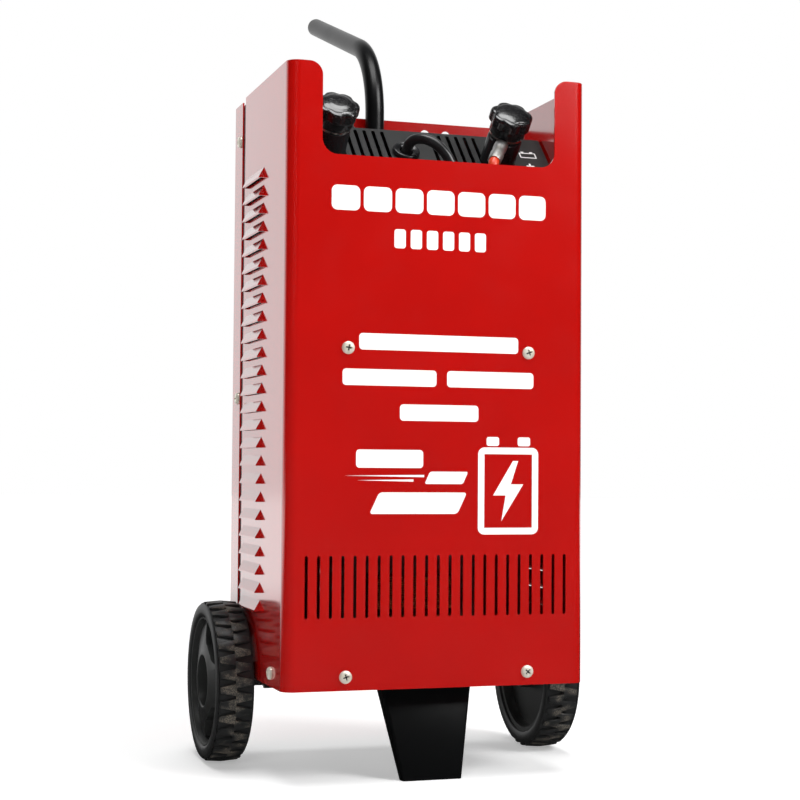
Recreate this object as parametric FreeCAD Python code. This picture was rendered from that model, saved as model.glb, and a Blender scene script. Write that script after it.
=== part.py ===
import FreeCAD, Part
import math
import os

# Trolley battery charger and jump starter. Millimetres, +X to the user's right, +Y to the rear, +Z up.
# The pieces are laid out from the case: X = 0 in the middle, Y = 0 on the front face, Z = 0 at the case's
# bottom edge. The whole part is moved at the end, so that it stands on Z = 0 over the origin.

Vec = FreeCAD.Vector
X_AXIS = Vec(1, 0, 0)
Y_AXIS = Vec(0, 1, 0)
Z_AXIS = Vec(0, 0, 1)

# Case
CASE_WIDTH = 282.0
CASE_HEIGHT = 550.0
CASE_DEPTH = 215.0
SHEET = 1.5
CORNER_RADIUS = 10.75
SEAM_WIDTH = 13.0
FLANGE_DEPTH = 34.0
REAR_DROP = 2.5
SEAT_GAP = 0.2

# Openings in the front sheet
WINDOW_WIDTH = 220.0
WINDOW_DEPTH = 81.0
SILL_RADIUS = 14.0
HORN_RADIUS = 12.0
FRONT_SLOTS = 23
FRONT_SLOT_PITCH = 11.0
FRONT_SLOT_WIDTH = 2.9
FRONT_SLOT_BOTTOM = 62.8
FRONT_SLOT_LENGTH = 54.3

# Side louvres
LOUVRES = 25
LOUVRE_FRONT = 89.0
LOUVRE_LENGTH = 70.0
LOUVRE_BOTTOM = 62.7
LOUVRE_TOP_MARGIN = 90.1
LOUVRE_REACH = 4.6
LOUVRE_HEIGHT = 9.8
LOUVRE_CHEEK = 1.6

# Rear vents
VENT_ROWS = 8
VENT_PITCH = 12.0
VENT_LENGTH = 26.0
VENT_WIDTH = 4.0
VENT_TOP_MARGIN = 82.0
VENT_SIDE_MARGIN = 10.0
TIE_HOLE_WIDTH = 10.5
TIE_HOLE_HEIGHT = 18.0
TIE_HOLE_PLACES = (57.0, 79.5)

# Control panel
DECK_DROP = 34.5
EDGE_DEPTH = 106.0
SLOPE_ANGLE = 45.5
PANEL_FLANGE = 12.0
PANEL_SLOTS = 6
PANEL_SLOT_PITCH = 8.8
PANEL_SLOT_FIRST = 24.0
PANEL_SLOT_WIDTH = 3.6
PANEL_SLOT_LENGTH = 54.0
PANEL_SLOT_MARGIN = 3.5

# Cable pocket
POCKET_BACK = 60.0
POCKET_HEIGHT = 161.0
POCKET_SIDE_ROOM = 8.5
POCKET_SCREW_DROP = 9.0

# Running gear
WHEEL_DIAMETER = 150.0
TYRE_WIDTH = 35.0
RIM_DIAMETER = 120.0
HUB_DIAMETER = 50.0
HUB_INSET = 9.0
WHEEL_SIDE_ROOM = 2.5
AXLE_DIAMETER = 12.0
AXLE_DROP = 8.0
AXLE_FROM_FRONT = 164.4
AXLE_END_INSET = 17.0
HUB_BORE_DIAMETER = 34.0
HUB_BORE_DEPTH = 12.0
SPOKES = 3
SPOKE_WIDTH = 26.0
RUNNING_GAP = 0.06
FACE_GAP = 0.4

# Front foot
FOOT_TOP_WIDTH = 86.0
FOOT_SOLE_WIDTH = 56.0
FOOT_TOP_FROM_FRONT = 30.0
FOOT_SOLE_FROM_FRONT = 12.0
FOOT_SHEET = 3.0
FOOT_LIP = 22.0

# Handle
TUBE_DIAMETER = 19.0
TUBE_WALL = 1.5
TUBE_BEND_RADIUS = 87.0
TUBE_BEND_ANGLE = 69.7
TUBE_GRIP_LENGTH = 186.0
TUBE_TAIL = 215.0
TUBE_CLAMP_DROPS = (60.0, 195.0)

# Terminals
POST_SPACING = 168.0
POST_UP_SLOPE = 25.5
POST_DIAMETER = 34.0
POST_HEIGHT = 28.0
STUD_DIAMETER = 10.0
STUD_LENGTH = 62.0
LUG_THICKNESS = 3.0
KNOB_DIAMETER = 41.0
KNOB_SKIRT = 9.0
KNOB_CAP = 12.0
KNOB_DOME = 3.0
KNOB_LOBES = 7
WASHER_THICKNESS = 2.0

# Red lead's lug
LUG_TURN = 28.0
LUG_REACH = 38.0
LUG_BARREL_DIAMETER = 13.0
LUG_EYE_DIAMETER = 22.0
LUG_PALM_WIDTH = 12.0
LUG_PALM_END = 17.2

# Black lead's gland
GLAND_OFFSET = -7.0
GLAND_UP_SLOPE = 29.5
GLAND_DIAMETER = 26.0
GLAND_HEIGHT = 8.0
GLAND_THREAD_DIAMETER = 18.0

# Controls on the deck, placed by X and by their distance from the rear wall
CONTROLS_FROM_REAR = 65.0
SELECTOR_PLACE = -57.0
SELECTOR_DIAMETER = 40.0
SELECTOR_HEIGHT = 27.0
SELECTOR_FLUTES = 10
METER_PLACE = 44.0
METER_SIZE = 46.0
METER_LIFT = 3.0
METER_WALL = 1.6
DIAL_DEPTH = 6.4
DIAL_THICKNESS = 1.5
DIAL_PIN_RADIUS = 1.2
NEEDLE_REST = 38.0
ROCKER_PLACE = -108.0
ROCKER_LENGTH = 27.0
ROCKER_WIDTH = 20.0
ROCKER_TILT = 8.0
ROCKER_PIN_RADIUS = 1.5
FUSE_PLACE = 104.0
FUSE_DIAMETER = 14.0
FUSE_WALL = 2.0

# Inside
CORE_WIDTH = 132.0
CORE_HEIGHT = 112.0
CORE_STACK = 68.0
CORE_LEG = 22.0
CORE_FROM_REAR = 69.0
CORE_FOOT = 4.0
COIL_OVERHANG = 14.0
WINDING_HEIGHT = 29.0
WINDING_STEP = 35.0
SINK_WIDTH = 140.0
SINK_HEIGHT = 90.0
SINK_BOTTOM = 168.0
SINK_FRONT = 96.0
SINK_BASE = 6.0
SINK_FIN_DEPTH = 24.5
SINK_FINS = 10
FIN_THICKNESS = 3.0
DIODE_RADIUS = 6.5
DIODE_PITCH = 30.0
MAINS_PLACE = (78.0, 62.0)
MAINS_CORD_RADIUS = 4.2

# Fasteners
SCREW_DIAMETER = 5.0
SCREW_HEAD_DIAMETER = 11.4
SCREW_HEAD_HEIGHT = 3.4
SCREW_LENGTH = 11.0
SCREW_HOLE_DIAMETER = 5.6
RECESS_WIDTH = 1.3
RECESS_SPAN = 6.4
RECESS_DEPTH = 1.7
FRONT_SCREW_PLACE = 85.0
LOW_SCREW_HEIGHT = 12.0
SIDE_SCREW_FROM_FRONT = 43.5
FLANGE_SCREW_HEIGHTS = (28.0, 260.0, 510.0)

# Leads
LEAD_DIAMETER = 10.0
COIL_RADIUS = 50.0
COIL_BORE_RADIUS = 39.3
COIL_RIM_RADIUS = 60.6
COIL_DEPTH = 20.6
COIL_FROM_FRONT = 44.0
COIL_SPACING = 128.0

# Battery clamps
CLAMP_LENGTH = 110.0
CLAMP_PIVOT = 46.0
CLAMP_WIDTH = 18.0
CLAMP_TONGUE_WIDTH = 13.0
CLAMP_EAR_RADIUS = 10.0
CLAMP_PIN_DIAMETER = 6.0
# One arm's outline from the jaw's tip: distance towards the handle, and height from the closing plane
CLAMP_ARM = ((0, 0.3), (0, 8.0), (22.0, 12.0), (46.0, 11.0), (72.0, 17.0), (110.0, 27.0),
             (110.0, 14.4), (80.0, 8.4), (46.0, 0.3))
CLAMP_FROM_FRONT = 15.5
CLAMP_REAR_PLACE = 40.0

# Values that follow from the ones above
half_width = CASE_WIDTH / 2
wheel_outer_face = half_width + WHEEL_SIDE_ROOM + TYRE_WIDTH
inner_half = half_width - SHEET
sill_height = CASE_HEIGHT - WINDOW_DEPTH
deck_height = CASE_HEIGHT - DECK_DROP
rear_inner = CASE_DEPTH - SHEET
flange_start = CASE_DEPTH - FLANGE_DEPTH
side_depth = flange_start - SEAM_WIDTH
slope = math.radians(SLOPE_ANGLE)
slope_foot_height = deck_height - (EDGE_DEPTH - POCKET_BACK) * math.tan(slope)
slope_normal = Vec(0, -math.sin(slope), math.cos(slope))
slope_up = Vec(0, math.cos(slope), math.sin(slope))
slope_foot = Vec(0, POCKET_BACK, slope_foot_height)
upright_outer = inner_half - SEAT_GAP
upright_inner = upright_outer - SHEET
tray_half = upright_inner - SEAT_GAP
axle_radius = AXLE_DIAMETER / 2
wheel_radius = WHEEL_DIAMETER / 2
ground = -(AXLE_DROP + wheel_radius)
pocket_floor = sill_height - POCKET_HEIGHT
tube_radius = TUBE_DIAMETER / 2
tube_from_front = rear_inner - tube_radius - 0.3
screw_hole_radius = SCREW_HOLE_DIAMETER / 2
post_foot = slope_foot + slope_up * POST_UP_SLOPE
controls_from_front = CASE_DEPTH - CONTROLS_FROM_REAR
coil_height = pocket_floor + COIL_RIM_RADIUS + 0.3
upper_clamp_height = coil_height + COIL_RADIUS + LEAD_DIAMETER / 2 - 21.0
lower_clamp_height = coil_height - COIL_RADIUS - LEAD_DIAMETER / 2 + 24.0

nodes = {}


# Helpers

def box(x0, x1, y0, y1, z0, z1):
    """A box between two corners."""
    return Part.makeBox(x1 - x0, y1 - y0, z1 - z0, Vec(x0, y0, z0))


def rod(start, direction, radius, length):
    """A cylinder from a point along a direction."""
    return Part.makeCylinder(radius, length, start, direction)


def ring(start, direction, outer_radius, inner_radius, length):
    """A tube wall from a point along a direction."""
    unit = Vec(direction).normalize()
    bore = rod(start - unit, direction, inner_radius, length + 2)
    return rod(start, direction, outer_radius, length).cut(bore)


def prism(points, direction):
    """An outline pushed along a vector."""
    face = Part.Face(Part.makePolygon(points + [points[0]]))
    return face.extrude(direction)


def side_prism(outline, x0, x1):
    """An outline in (Y, Z) pushed from x0 to x1."""
    return prism([Vec(x0, y, z) for y, z in outline], Vec(x1 - x0, 0, 0))


def slot(centre, along, across, depth, width, length):
    """A round-ended slot: length along one unit vector, cut through along the depth vector."""
    half_run = along * ((length - width) / 2)
    half_wide = across * (width / 2)
    run = [centre - half_run - half_wide, centre + half_run - half_wide,
           centre + half_run + half_wide, centre - half_run + half_wide]
    solid = prism(run, depth)
    for end in (centre - half_run, centre + half_run):
        solid = solid.fuse(rod(end, depth, width / 2, depth.Length))
    return solid.removeSplitter()


def mirrored(shape):
    """The same shape on the other side of the middle plane."""
    return shape.mirror(Vec(0, 0, 0), X_AXIS)


def joined(shapes):
    """Touching or overlapping shapes as one clean solid."""
    first = shapes[0]
    if len(shapes) == 1:
        return first
    return first.multiFuse(shapes[1:]).removeSplitter()


def revolved(outline, centre, axis, radial):
    """An outline of (radius, height) pairs turned about an axis."""
    unit = Vec(axis).normalize()
    points = [centre + radial * r + unit * h for r, h in outline]
    face = Part.Face(Part.makePolygon(points + [points[0]]))
    return face.revolve(centre, unit, 360)


def screw(seat, outward, length=SCREW_LENGTH):
    """A pan-head screw with a cross recess: seat is the point under the head."""
    unit = Vec(outward).normalize()
    head_radius = SCREW_HEAD_DIAMETER / 2
    head = rod(seat, unit, head_radius, SCREW_HEAD_HEIGHT)
    top = seat + unit * SCREW_HEAD_HEIGHT
    top_edges = [e for e in head.Edges if (e.CenterOfMass - top).Length < 0.01]
    head = head.makeFillet(SCREW_HEAD_HEIGHT * 0.6, top_edges)
    shank = rod(seat - unit * length, unit, SCREW_DIAMETER / 2, length)
    solid = head.fuse(shank)
    side = unit.cross(Z_AXIS) if abs(unit.z) < 0.9 else X_AXIS
    side = Vec(side).normalize()
    base = seat + unit * (SCREW_HEAD_HEIGHT - RECESS_DEPTH)
    for along in (side, unit.cross(side)):
        across = unit.cross(along)
        corner = along * (RECESS_SPAN / 2)
        edge = across * (RECESS_WIDTH / 2)
        outline = [base - corner - edge, base + corner - edge, base + corner + edge, base - corner + edge]
        solid = solid.cut(prism(outline, unit * (RECESS_DEPTH + 1)))
    return solid


def screw_hole(seat, direction, depth=6.0):
    """The clearance hole for a screw, centred on its seat."""
    unit = Vec(direction).normalize()
    return rod(seat - unit * depth, unit, screw_hole_radius, depth * 2)


def group(shapes):
    """Separate solids kept in one node."""
    return Part.makeCompound(shapes)


def keep(name, shape):
    """Register a node."""
    nodes[name] = shape


# Case sheets

def front_screw_seats():
    """Where the four screws sit on the front face."""
    heights = (LOW_SCREW_HEIGHT, pocket_floor - POCKET_SCREW_DROP)
    return [Vec(side * FRONT_SCREW_PLACE, 0, z) for z in heights for side in (-1, 1)]


def side_screw_seats():
    """Where the low side screws sit, right side only."""
    return [Vec(half_width, SIDE_SCREW_FROM_FRONT, LOW_SCREW_HEIGHT)]


def flange_screw_seats():
    """Where the rear cover's flange screws sit, right side only."""
    place = flange_start + 6.0
    return [Vec(half_width, place, z) for z in FLANGE_SCREW_HEIGHTS]


def louvre_heights():
    """The lower lip of each louvre."""
    top = CASE_HEIGHT - LOUVRE_TOP_MARGIN
    pitch = (top - LOUVRE_BOTTOM) / (LOUVRES - 1)
    return [LOUVRE_BOTTOM + pitch * i for i in range(LOUVRES)]


def louvre_wedge(profile, z, inset):
    """One pressed hood on the right side: a wedge whose ends lean in towards the lip."""
    rear = LOUVRE_FRONT + LOUVRE_LENGTH
    body = prism([Vec(half_width + x, LOUVRE_FRONT, z + dz) for x, dz in profile], Vec(0, LOUVRE_LENGTH, 0))
    reach = LOUVRE_REACH + 1
    lean = LOUVRE_CHEEK * reach / LOUVRE_REACH
    plan = [Vec(half_width - SHEET - 1, LOUVRE_FRONT + inset, z - 2),
            Vec(half_width, LOUVRE_FRONT + inset, z - 2),
            Vec(half_width + reach, LOUVRE_FRONT + inset + lean, z - 2),
            Vec(half_width + reach, rear - inset - lean, z - 2),
            Vec(half_width, rear - inset, z - 2),
            Vec(half_width - SHEET - 1, rear - inset, z - 2)]
    return body.common(prism(plan, Vec(0, 0, LOUVRE_HEIGHT + 4)))


def make_front_shell():
    """The front and both sides, folded from one sheet, with its window, slots and louvres."""
    outer = box(-half_width, half_width, 0, side_depth, 0, CASE_HEIGHT)
    corners = [e for e in outer.Edges if e.CenterOfMass.y < 0.01 and abs(e.CenterOfMass.x) > half_width - 0.01]
    outer = outer.makeFillet(CORNER_RADIUS, corners)
    inner = box(-inner_half, inner_half, SHEET, side_depth + 1, -1, CASE_HEIGHT + 1)
    corners = [e for e in inner.Edges
               if abs(e.CenterOfMass.y - SHEET) < 0.01 and abs(e.CenterOfMass.x) > inner_half - 0.01]
    inner = inner.makeFillet(CORNER_RADIUS - SHEET, corners)
    shell = outer.cut(inner)

    half_window = WINDOW_WIDTH / 2
    window = box(-half_window, half_window, -1, SHEET + CORNER_RADIUS, sill_height, CASE_HEIGHT + 1)
    corners = [e for e in window.Edges
               if abs(e.CenterOfMass.z - sill_height) < 0.01 and abs(e.CenterOfMass.x) > half_window - 0.01]
    window = window.makeFillet(SILL_RADIUS, corners)
    shell = shell.cut(window)
    horns = [e for e in shell.Edges
             if abs(abs(e.CenterOfMass.x) - half_window) < 0.01 and e.CenterOfMass.z > CASE_HEIGHT - 0.01]
    shell = shell.makeFillet(HORN_RADIUS, horns)

    cuts = []
    middle = FRONT_SLOT_BOTTOM + FRONT_SLOT_LENGTH / 2
    for i in range(FRONT_SLOTS):
        x = (i - (FRONT_SLOTS - 1) / 2) * FRONT_SLOT_PITCH
        cuts.append(slot(Vec(x, -1, middle), Z_AXIS, X_AXIS, Vec(0, SHEET + 2, 0),
                         FRONT_SLOT_WIDTH, FRONT_SLOT_LENGTH))
    cuts += [screw_hole(seat, Y_AXIS) for seat in front_screw_seats()]
    for seat in side_screw_seats():
        cuts += [screw_hole(seat, X_AXIS), mirrored(screw_hole(seat, X_AXIS))]

    hood = [(-SHEET / 2, 0), (LOUVRE_REACH, 0), (LOUVRE_REACH, 1.0), (0, LOUVRE_HEIGHT),
            (-SHEET / 2, LOUVRE_HEIGHT)]
    void = [(-SHEET - 1, 0), (0, 0), (0, -1), (LOUVRE_REACH - SHEET, -1), (LOUVRE_REACH - SHEET, 0.6),
            (0, LOUVRE_HEIGHT - 2.4), (-SHEET - 1, LOUVRE_HEIGHT - 2.4)]
    hoods = []
    for z in louvre_heights():
        wedge = louvre_wedge(hood, z, 0)
        hollow = louvre_wedge(void, z, SHEET)
        hoods += [wedge, mirrored(wedge)]
        cuts += [hollow, mirrored(hollow)]
    shell = shell.multiFuse(hoods)
    keep("front_shell", shell.cut(cuts))


def make_rear_cover():
    """The rear wall with its two forward flanges, vents and tie holes."""
    top = CASE_HEIGHT - REAR_DROP
    outer = box(-half_width, half_width, flange_start, CASE_DEPTH, 0, top)
    corners = [e for e in outer.Edges
               if e.CenterOfMass.y > CASE_DEPTH - 0.01 and abs(e.CenterOfMass.x) > half_width - 0.01]
    outer = outer.makeFillet(3.0, corners)
    cover = outer.cut(box(-inner_half, inner_half, flange_start - 1, rear_inner, -1, top + 1))
    cuts = []
    first = CASE_HEIGHT - VENT_TOP_MARGIN
    vent_centre = inner_half - VENT_SIDE_MARGIN - VENT_LENGTH / 2
    for row in range(VENT_ROWS):
        for side in (-1, 1):
            centre = Vec(side * vent_centre, rear_inner - 1, first - row * VENT_PITCH)
            cuts.append(slot(centre, X_AXIS, Z_AXIS, Vec(0, SHEET + 2, 0), VENT_WIDTH, VENT_LENGTH))
    tie_middle = deck_height + 7.0 + TIE_HOLE_HEIGHT / 2
    for place in TIE_HOLE_PLACES:
        for side in (-1, 1):
            centre = Vec(side * place, rear_inner - 1, tie_middle)
            cuts.append(slot(centre, Z_AXIS, X_AXIS, Vec(0, SHEET + 2, 0), TIE_HOLE_WIDTH, TIE_HOLE_HEIGHT))
    for seat in flange_screw_seats():
        cuts += [screw_hole(seat, X_AXIS), mirrored(screw_hole(seat, X_AXIS))]
    for seat in handle_bolt_seats():
        cuts.append(screw_hole(seat, Y_AXIS))
    cuts.append(rod(mains_gland_place() - Y_AXIS * 5, Y_AXIS, 8.0, 10))
    keep("rear_cover", cover.cut(cuts))


def make_base_tray():
    """The floor pan with turned-up edges; the axle and the foot fasten under it."""
    rear = rear_inner - SEAT_GAP
    depth_from = SHEET + SEAT_GAP
    outer = box(-tray_half, tray_half, depth_from, rear, 0, 22.0)
    pan = outer.cut(box(-tray_half + SHEET, tray_half - SHEET, depth_from + SHEET, rear - SHEET, SHEET, 23.0))
    notch = box(-half_width, half_width, depth_from - 1, CORNER_RADIUS, -1, 23.0)
    keep_middle = box(-half_width + CORNER_RADIUS + 2, half_width - CORNER_RADIUS - 2, depth_from - 1,
                      CORNER_RADIUS, -1, 23.0)
    pan = pan.cut(notch.cut(keep_middle))
    cuts = [screw_hole(seat + Y_AXIS * 3, Y_AXIS) for seat in front_screw_seats()[:2]]
    for seat in side_screw_seats():
        hole = screw_hole(seat - X_AXIS * 3, X_AXIS)
        cuts += [hole, mirrored(hole)]
    for seat in foot_screw_seats() + saddle_screw_seats():
        cuts.append(screw_hole(seat, Z_AXIS))
    for row in range(4):
        for column in range(5):
            centre = Vec((column - 2) * 38.0, 62.0 + row * 22.0, -1)
            cuts.append(slot(centre, X_AXIS, Y_AXIS, Vec(0, 0, SHEET + 2), 5.0, 26.0))
    keep("base_tray", pan.cut(cuts))


def make_uprights():
    """Two corner posts that tie the front sheet, the tray and the rear cover together."""
    front = side_depth - 18.0
    rear = flange_start + 18.0
    web = box(upright_inner, upright_outer, front, rear, 2.0, CASE_HEIGHT - 5.0)
    flange = box(upright_inner - 14.0, upright_inner, front, front + SHEET, 24.0, deck_height - 16.0)
    post = joined([web, flange])
    for seat in flange_screw_seats():
        post = post.cut(screw_hole(seat, X_AXIS))
    keep("right_upright", post)
    keep("left_upright", mirrored(post))


def make_control_panel():
    """The black panel: a sloping front with vents and the terminals, and a flat deck behind it."""
    half = tray_half
    back = rear_inner - SEAT_GAP
    lean = SHEET * math.tan(slope / 2)
    skirt_top = slope_foot_height + (SHEET * 2 + SEAT_GAP) * math.tan(slope) - SHEET / math.cos(slope)
    outline = [(POCKET_BACK + SHEET + SEAT_GAP, slope_foot_height + (SHEET + SEAT_GAP) * math.tan(slope)),
               (EDGE_DEPTH, deck_height),
               (back, deck_height), (back, deck_height - PANEL_FLANGE),
               (back - SHEET, deck_height - PANEL_FLANGE),
               (back - SHEET, deck_height - SHEET), (EDGE_DEPTH + lean, deck_height - SHEET),
               (POCKET_BACK + SHEET * 2 + SEAT_GAP, skirt_top),
               (POCKET_BACK + SHEET * 2 + SEAT_GAP, skirt_top - PANEL_FLANGE),
               (POCKET_BACK + SHEET + SEAT_GAP, skirt_top - PANEL_FLANGE)]
    panel = side_prism(outline, -half, half)
    cheek_outline = [(POCKET_BACK + SHEET * 2 + SEAT_GAP, skirt_top), (EDGE_DEPTH + lean, deck_height - SHEET),
                     (side_depth - 22.0, deck_height - SHEET), (side_depth - 22.0, deck_height - PANEL_FLANGE),
                     (EDGE_DEPTH + PANEL_FLANGE / 2, deck_height - PANEL_FLANGE),
                     (POCKET_BACK + SHEET * 2 + SEAT_GAP, skirt_top - PANEL_FLANGE)]
    right_cheek = side_prism(cheek_outline, half - SHEET, half)
    left_cheek = side_prism(cheek_outline, -half, SHEET - half)
    panel = joined([panel, right_cheek, left_cheek])
    cuts = []
    edge = Vec(0, EDGE_DEPTH, deck_height)
    for i in range(PANEL_SLOTS):
        for side in (-1, 1):
            x = side * (PANEL_SLOT_FIRST + PANEL_SLOT_PITCH * i)
            drop = slope_up * (PANEL_SLOT_MARGIN + PANEL_SLOT_LENGTH / 2)
            centre = edge - drop + X_AXIS * x + slope_normal * 2
            cuts.append(slot(centre, slope_up, X_AXIS, slope_normal * -6, PANEL_SLOT_WIDTH, PANEL_SLOT_LENGTH))
    for side in (-1, 1):
        cuts.append(rod(post_centre(side) + slope_normal * 3, slope_normal * -1, STUD_DIAMETER / 2 + 0.5, 8))
    cuts.append(rod(gland_centre() + slope_normal * 3, slope_normal * -1, GLAND_THREAD_DIAMETER / 2 + 0.3, 8))
    tube_hole_foot = Vec(0, tube_from_front, deck_height - PANEL_FLANGE - 1)
    cuts.append(rod(tube_hole_foot, Z_AXIS, tube_radius + 0.8, PANEL_FLANGE + 5))
    for place, radius in deck_round_holes():
        cuts.append(rod(place - Z_AXIS * 5, Z_AXIS, radius, 10))
    for x0, x1, y0, y1 in deck_square_holes():
        cuts.append(box(x0, x1, y0, y1, deck_height - 5, deck_height + 5))
    keep("control_panel", panel.cut(cuts))


def make_cable_pocket():
    """The sheet pocket behind the front panel where the leads and clamps are stored."""
    half = half_width - POCKET_SIDE_ROOM
    front = SHEET + 0.4
    outer = box(-half, half, front, POCKET_BACK + SHEET, pocket_floor - SHEET, sill_height - 3.0)
    inner = box(-half + SHEET, half - SHEET, front - 1, POCKET_BACK, pocket_floor, sill_height)
    pocket = outer.cut(inner)
    ears = box(-half, half, front, front + SHEET, pocket_floor - POCKET_SCREW_DROP * 2, pocket_floor)
    pocket = joined([pocket, ears])
    corner = box(-half - 1, -inner_half + CORNER_RADIUS, 0, CORNER_RADIUS, 0, CASE_HEIGHT)
    pocket = pocket.cut([corner, mirrored(corner)])
    cuts = [screw_hole(seat + Y_AXIS * 3, Y_AXIS) for seat in front_screw_seats()[2:]]
    keep("cable_pocket", pocket.cut(cuts))


# Foot and running gear

def foot_screw_seats():
    """Screws that hold the foot's top flange under the tray."""
    return [Vec(side * 24.0, FOOT_TOP_FROM_FRONT + 12.0, 0) for side in (-1, 1)]


def make_front_foot():
    """A tapered channel folded from thick sheet, with a turned top flange and sole."""
    rise = -ground
    top = -0.2
    tilt = (FOOT_TOP_FROM_FRONT - FOOT_SOLE_FROM_FRONT) / rise
    sole_front = FOOT_SOLE_FROM_FRONT
    top_front = FOOT_TOP_FROM_FRONT + tilt * top
    web = [(sole_front, ground), (top_front, top), (top_front + FOOT_SHEET, top),
           (sole_front + FOOT_SHEET, ground)]
    side = [(sole_front, ground), (top_front, top), (top_front + 18.0, top), (sole_front + 9.0, ground)]
    blank = side_prism(side, -half_width, half_width)
    outer_plan = [Vec(-FOOT_SOLE_WIDTH / 2, 0, ground), Vec(FOOT_SOLE_WIDTH / 2, 0, ground),
                  Vec(FOOT_TOP_WIDTH / 2, 0, top), Vec(-FOOT_TOP_WIDTH / 2, 0, top)]
    sole_inner = FOOT_SOLE_WIDTH / 2 - FOOT_SHEET
    top_inner = FOOT_TOP_WIDTH / 2 - FOOT_SHEET
    inner_plan = [Vec(-sole_inner, 0, ground - 1), Vec(sole_inner, 0, ground - 1),
                  Vec(top_inner, 0, top + 1), Vec(-top_inner, 0, top + 1)]
    shape = blank.common(prism(outer_plan, Vec(0, 100, 0)))
    channel = shape.cut(prism(inner_plan, Vec(0, 100, 0)))
    front = side_prism(web, -half_width, half_width).common(prism(outer_plan, Vec(0, 100, 0)))
    sole_half = FOOT_SOLE_WIDTH / 2 - 4.0
    sole = box(-sole_half, sole_half, sole_front + 1.0, sole_front + FOOT_LIP, ground, ground + FOOT_SHEET)
    flange_half = FOOT_TOP_WIDTH / 2 - 5.0
    flange = box(-flange_half, flange_half, top_front + 1.0, top_front + 24.0, top - FOOT_SHEET, top)
    foot = joined([front, channel, sole, flange])
    for seat in foot_screw_seats():
        foot = foot.cut(screw_hole(seat, Z_AXIS))
    keep("front_foot", foot)


def saddle_screw_seats():
    """Screws that hold the axle saddles under the tray."""
    return [Vec(side * 108.0, AXLE_FROM_FRONT + dy, 0) for side in (-1, 1) for dy in (-17.0, 17.0)]


def make_running_gear():
    """The fixed axle, its saddles, and the spacers and caps on its ends."""
    tip = wheel_outer_face - AXLE_END_INSET
    centre = Vec(0, AXLE_FROM_FRONT, -AXLE_DROP)
    axle = rod(centre - X_AXIS * tip, X_AXIS, axle_radius, tip * 2)
    ends = [e for e in axle.Edges if abs(abs(e.CenterOfMass.x) - tip) < 0.01]
    keep("axle", axle.makeChamfer(1.0, ends))

    wall = 3.0
    start = Vec(98.0, AXLE_FROM_FRONT, -AXLE_DROP)
    barrel = rod(start, X_AXIS, axle_radius + wall, 20.0)
    block = box(98.0, 118.0, AXLE_FROM_FRONT - axle_radius - wall, AXLE_FROM_FRONT + axle_radius + wall,
                -AXLE_DROP, -0.1)
    feet = box(98.0, 118.0, AXLE_FROM_FRONT - 24.0, AXLE_FROM_FRONT + 24.0, -2.1, -0.1)
    saddle = joined([barrel, block, feet]).cut(rod(start - X_AXIS, X_AXIS, axle_radius + 0.03, 22.0))
    flat = box(97.0, 119.0, AXLE_FROM_FRONT - 30, AXLE_FROM_FRONT + 30, -0.1, 5)
    saddle = saddle.cut(flat)
    for seat in saddle_screw_seats()[2:]:
        saddle = saddle.cut(screw_hole(seat, Z_AXIS))
    keep("axle_saddles", group([saddle, mirrored(saddle)]))

    inner_face = wheel_outer_face - TYRE_WIDTH
    spacer = ring(centre + X_AXIS * (half_width + 0.2), X_AXIS, 11.0, axle_radius + 0.03,
                  inner_face - half_width - 0.2 - FACE_GAP)
    keep("axle_spacers", group([spacer, mirrored(spacer)]))
    hub_outer = wheel_outer_face - HUB_INSET - HUB_BORE_DEPTH
    cap = ring(centre + X_AXIS * (hub_outer + FACE_GAP), X_AXIS, 10.0, axle_radius + 0.03, 2.0)
    keep("axle_caps", group([cap, mirrored(cap)]))


def make_wheel():
    """A tyre with a stepped tread and a spoked centre with a plain bore."""
    centre = Vec(0, AXLE_FROM_FRONT, -AXLE_DROP)
    outer = wheel_outer_face
    inner = outer - TYRE_WIDTH
    rim = RIM_DIAMETER / 2
    shoulder = 5.0
    profile = [(rim, inner + 1.5), (wheel_radius - shoulder - 3, inner), (wheel_radius - 1.5, inner + shoulder),
               (wheel_radius, inner + shoulder + 3), (wheel_radius, outer - shoulder - 3),
               (wheel_radius - 1.5, outer - shoulder), (wheel_radius - shoulder - 3, outer), (rim, outer - 1.5)]
    tyre = revolved(profile, centre, X_AXIS, Z_AXIS)
    keep("right_tyre", tyre)
    keep("left_tyre", mirrored(tyre))

    seat = rim - 0.05
    hub = HUB_DIAMETER / 2
    hub_face = outer - HUB_INSET
    rim_band = ring(centre + X_AXIS * (inner + 3.0), X_AXIS, seat, seat - 5.0, TYRE_WIDTH - 6.0)
    hub_barrel = rod(centre + X_AXIS * inner, X_AXIS, hub, hub_face - inner)
    web = ring(centre + X_AXIS * (inner + 13.0), X_AXIS, seat - 2, hub - 2, 4.0)
    spokes = []
    for i in range(SPOKES):
        half_arm = SPOKE_WIDTH / 2
        arm = box(inner + 13.0, hub_face - 3.0, AXLE_FROM_FRONT - half_arm, AXLE_FROM_FRONT + half_arm,
                  hub - 3.0 - AXLE_DROP, seat - 3.0 - AXLE_DROP)
        arm.rotate(centre, X_AXIS, 90.0 + 360.0 / SPOKES * i)
        spokes.append(arm)
    wheel = joined([rim_band, hub_barrel, web] + spokes)
    bore = rod(centre + X_AXIS * (inner - 1), X_AXIS, axle_radius + RUNNING_GAP, TYRE_WIDTH + 2)
    hub_floor = centre + X_AXIS * (hub_face - HUB_BORE_DEPTH)
    hub_bore = rod(hub_floor, X_AXIS, HUB_BORE_DIAMETER / 2, HUB_BORE_DEPTH + 1)
    wheel = wheel.cut(bore).cut(hub_bore)
    keep("right_wheel_centre", wheel)
    keep("left_wheel_centre", mirrored(wheel))


# Handle

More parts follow.
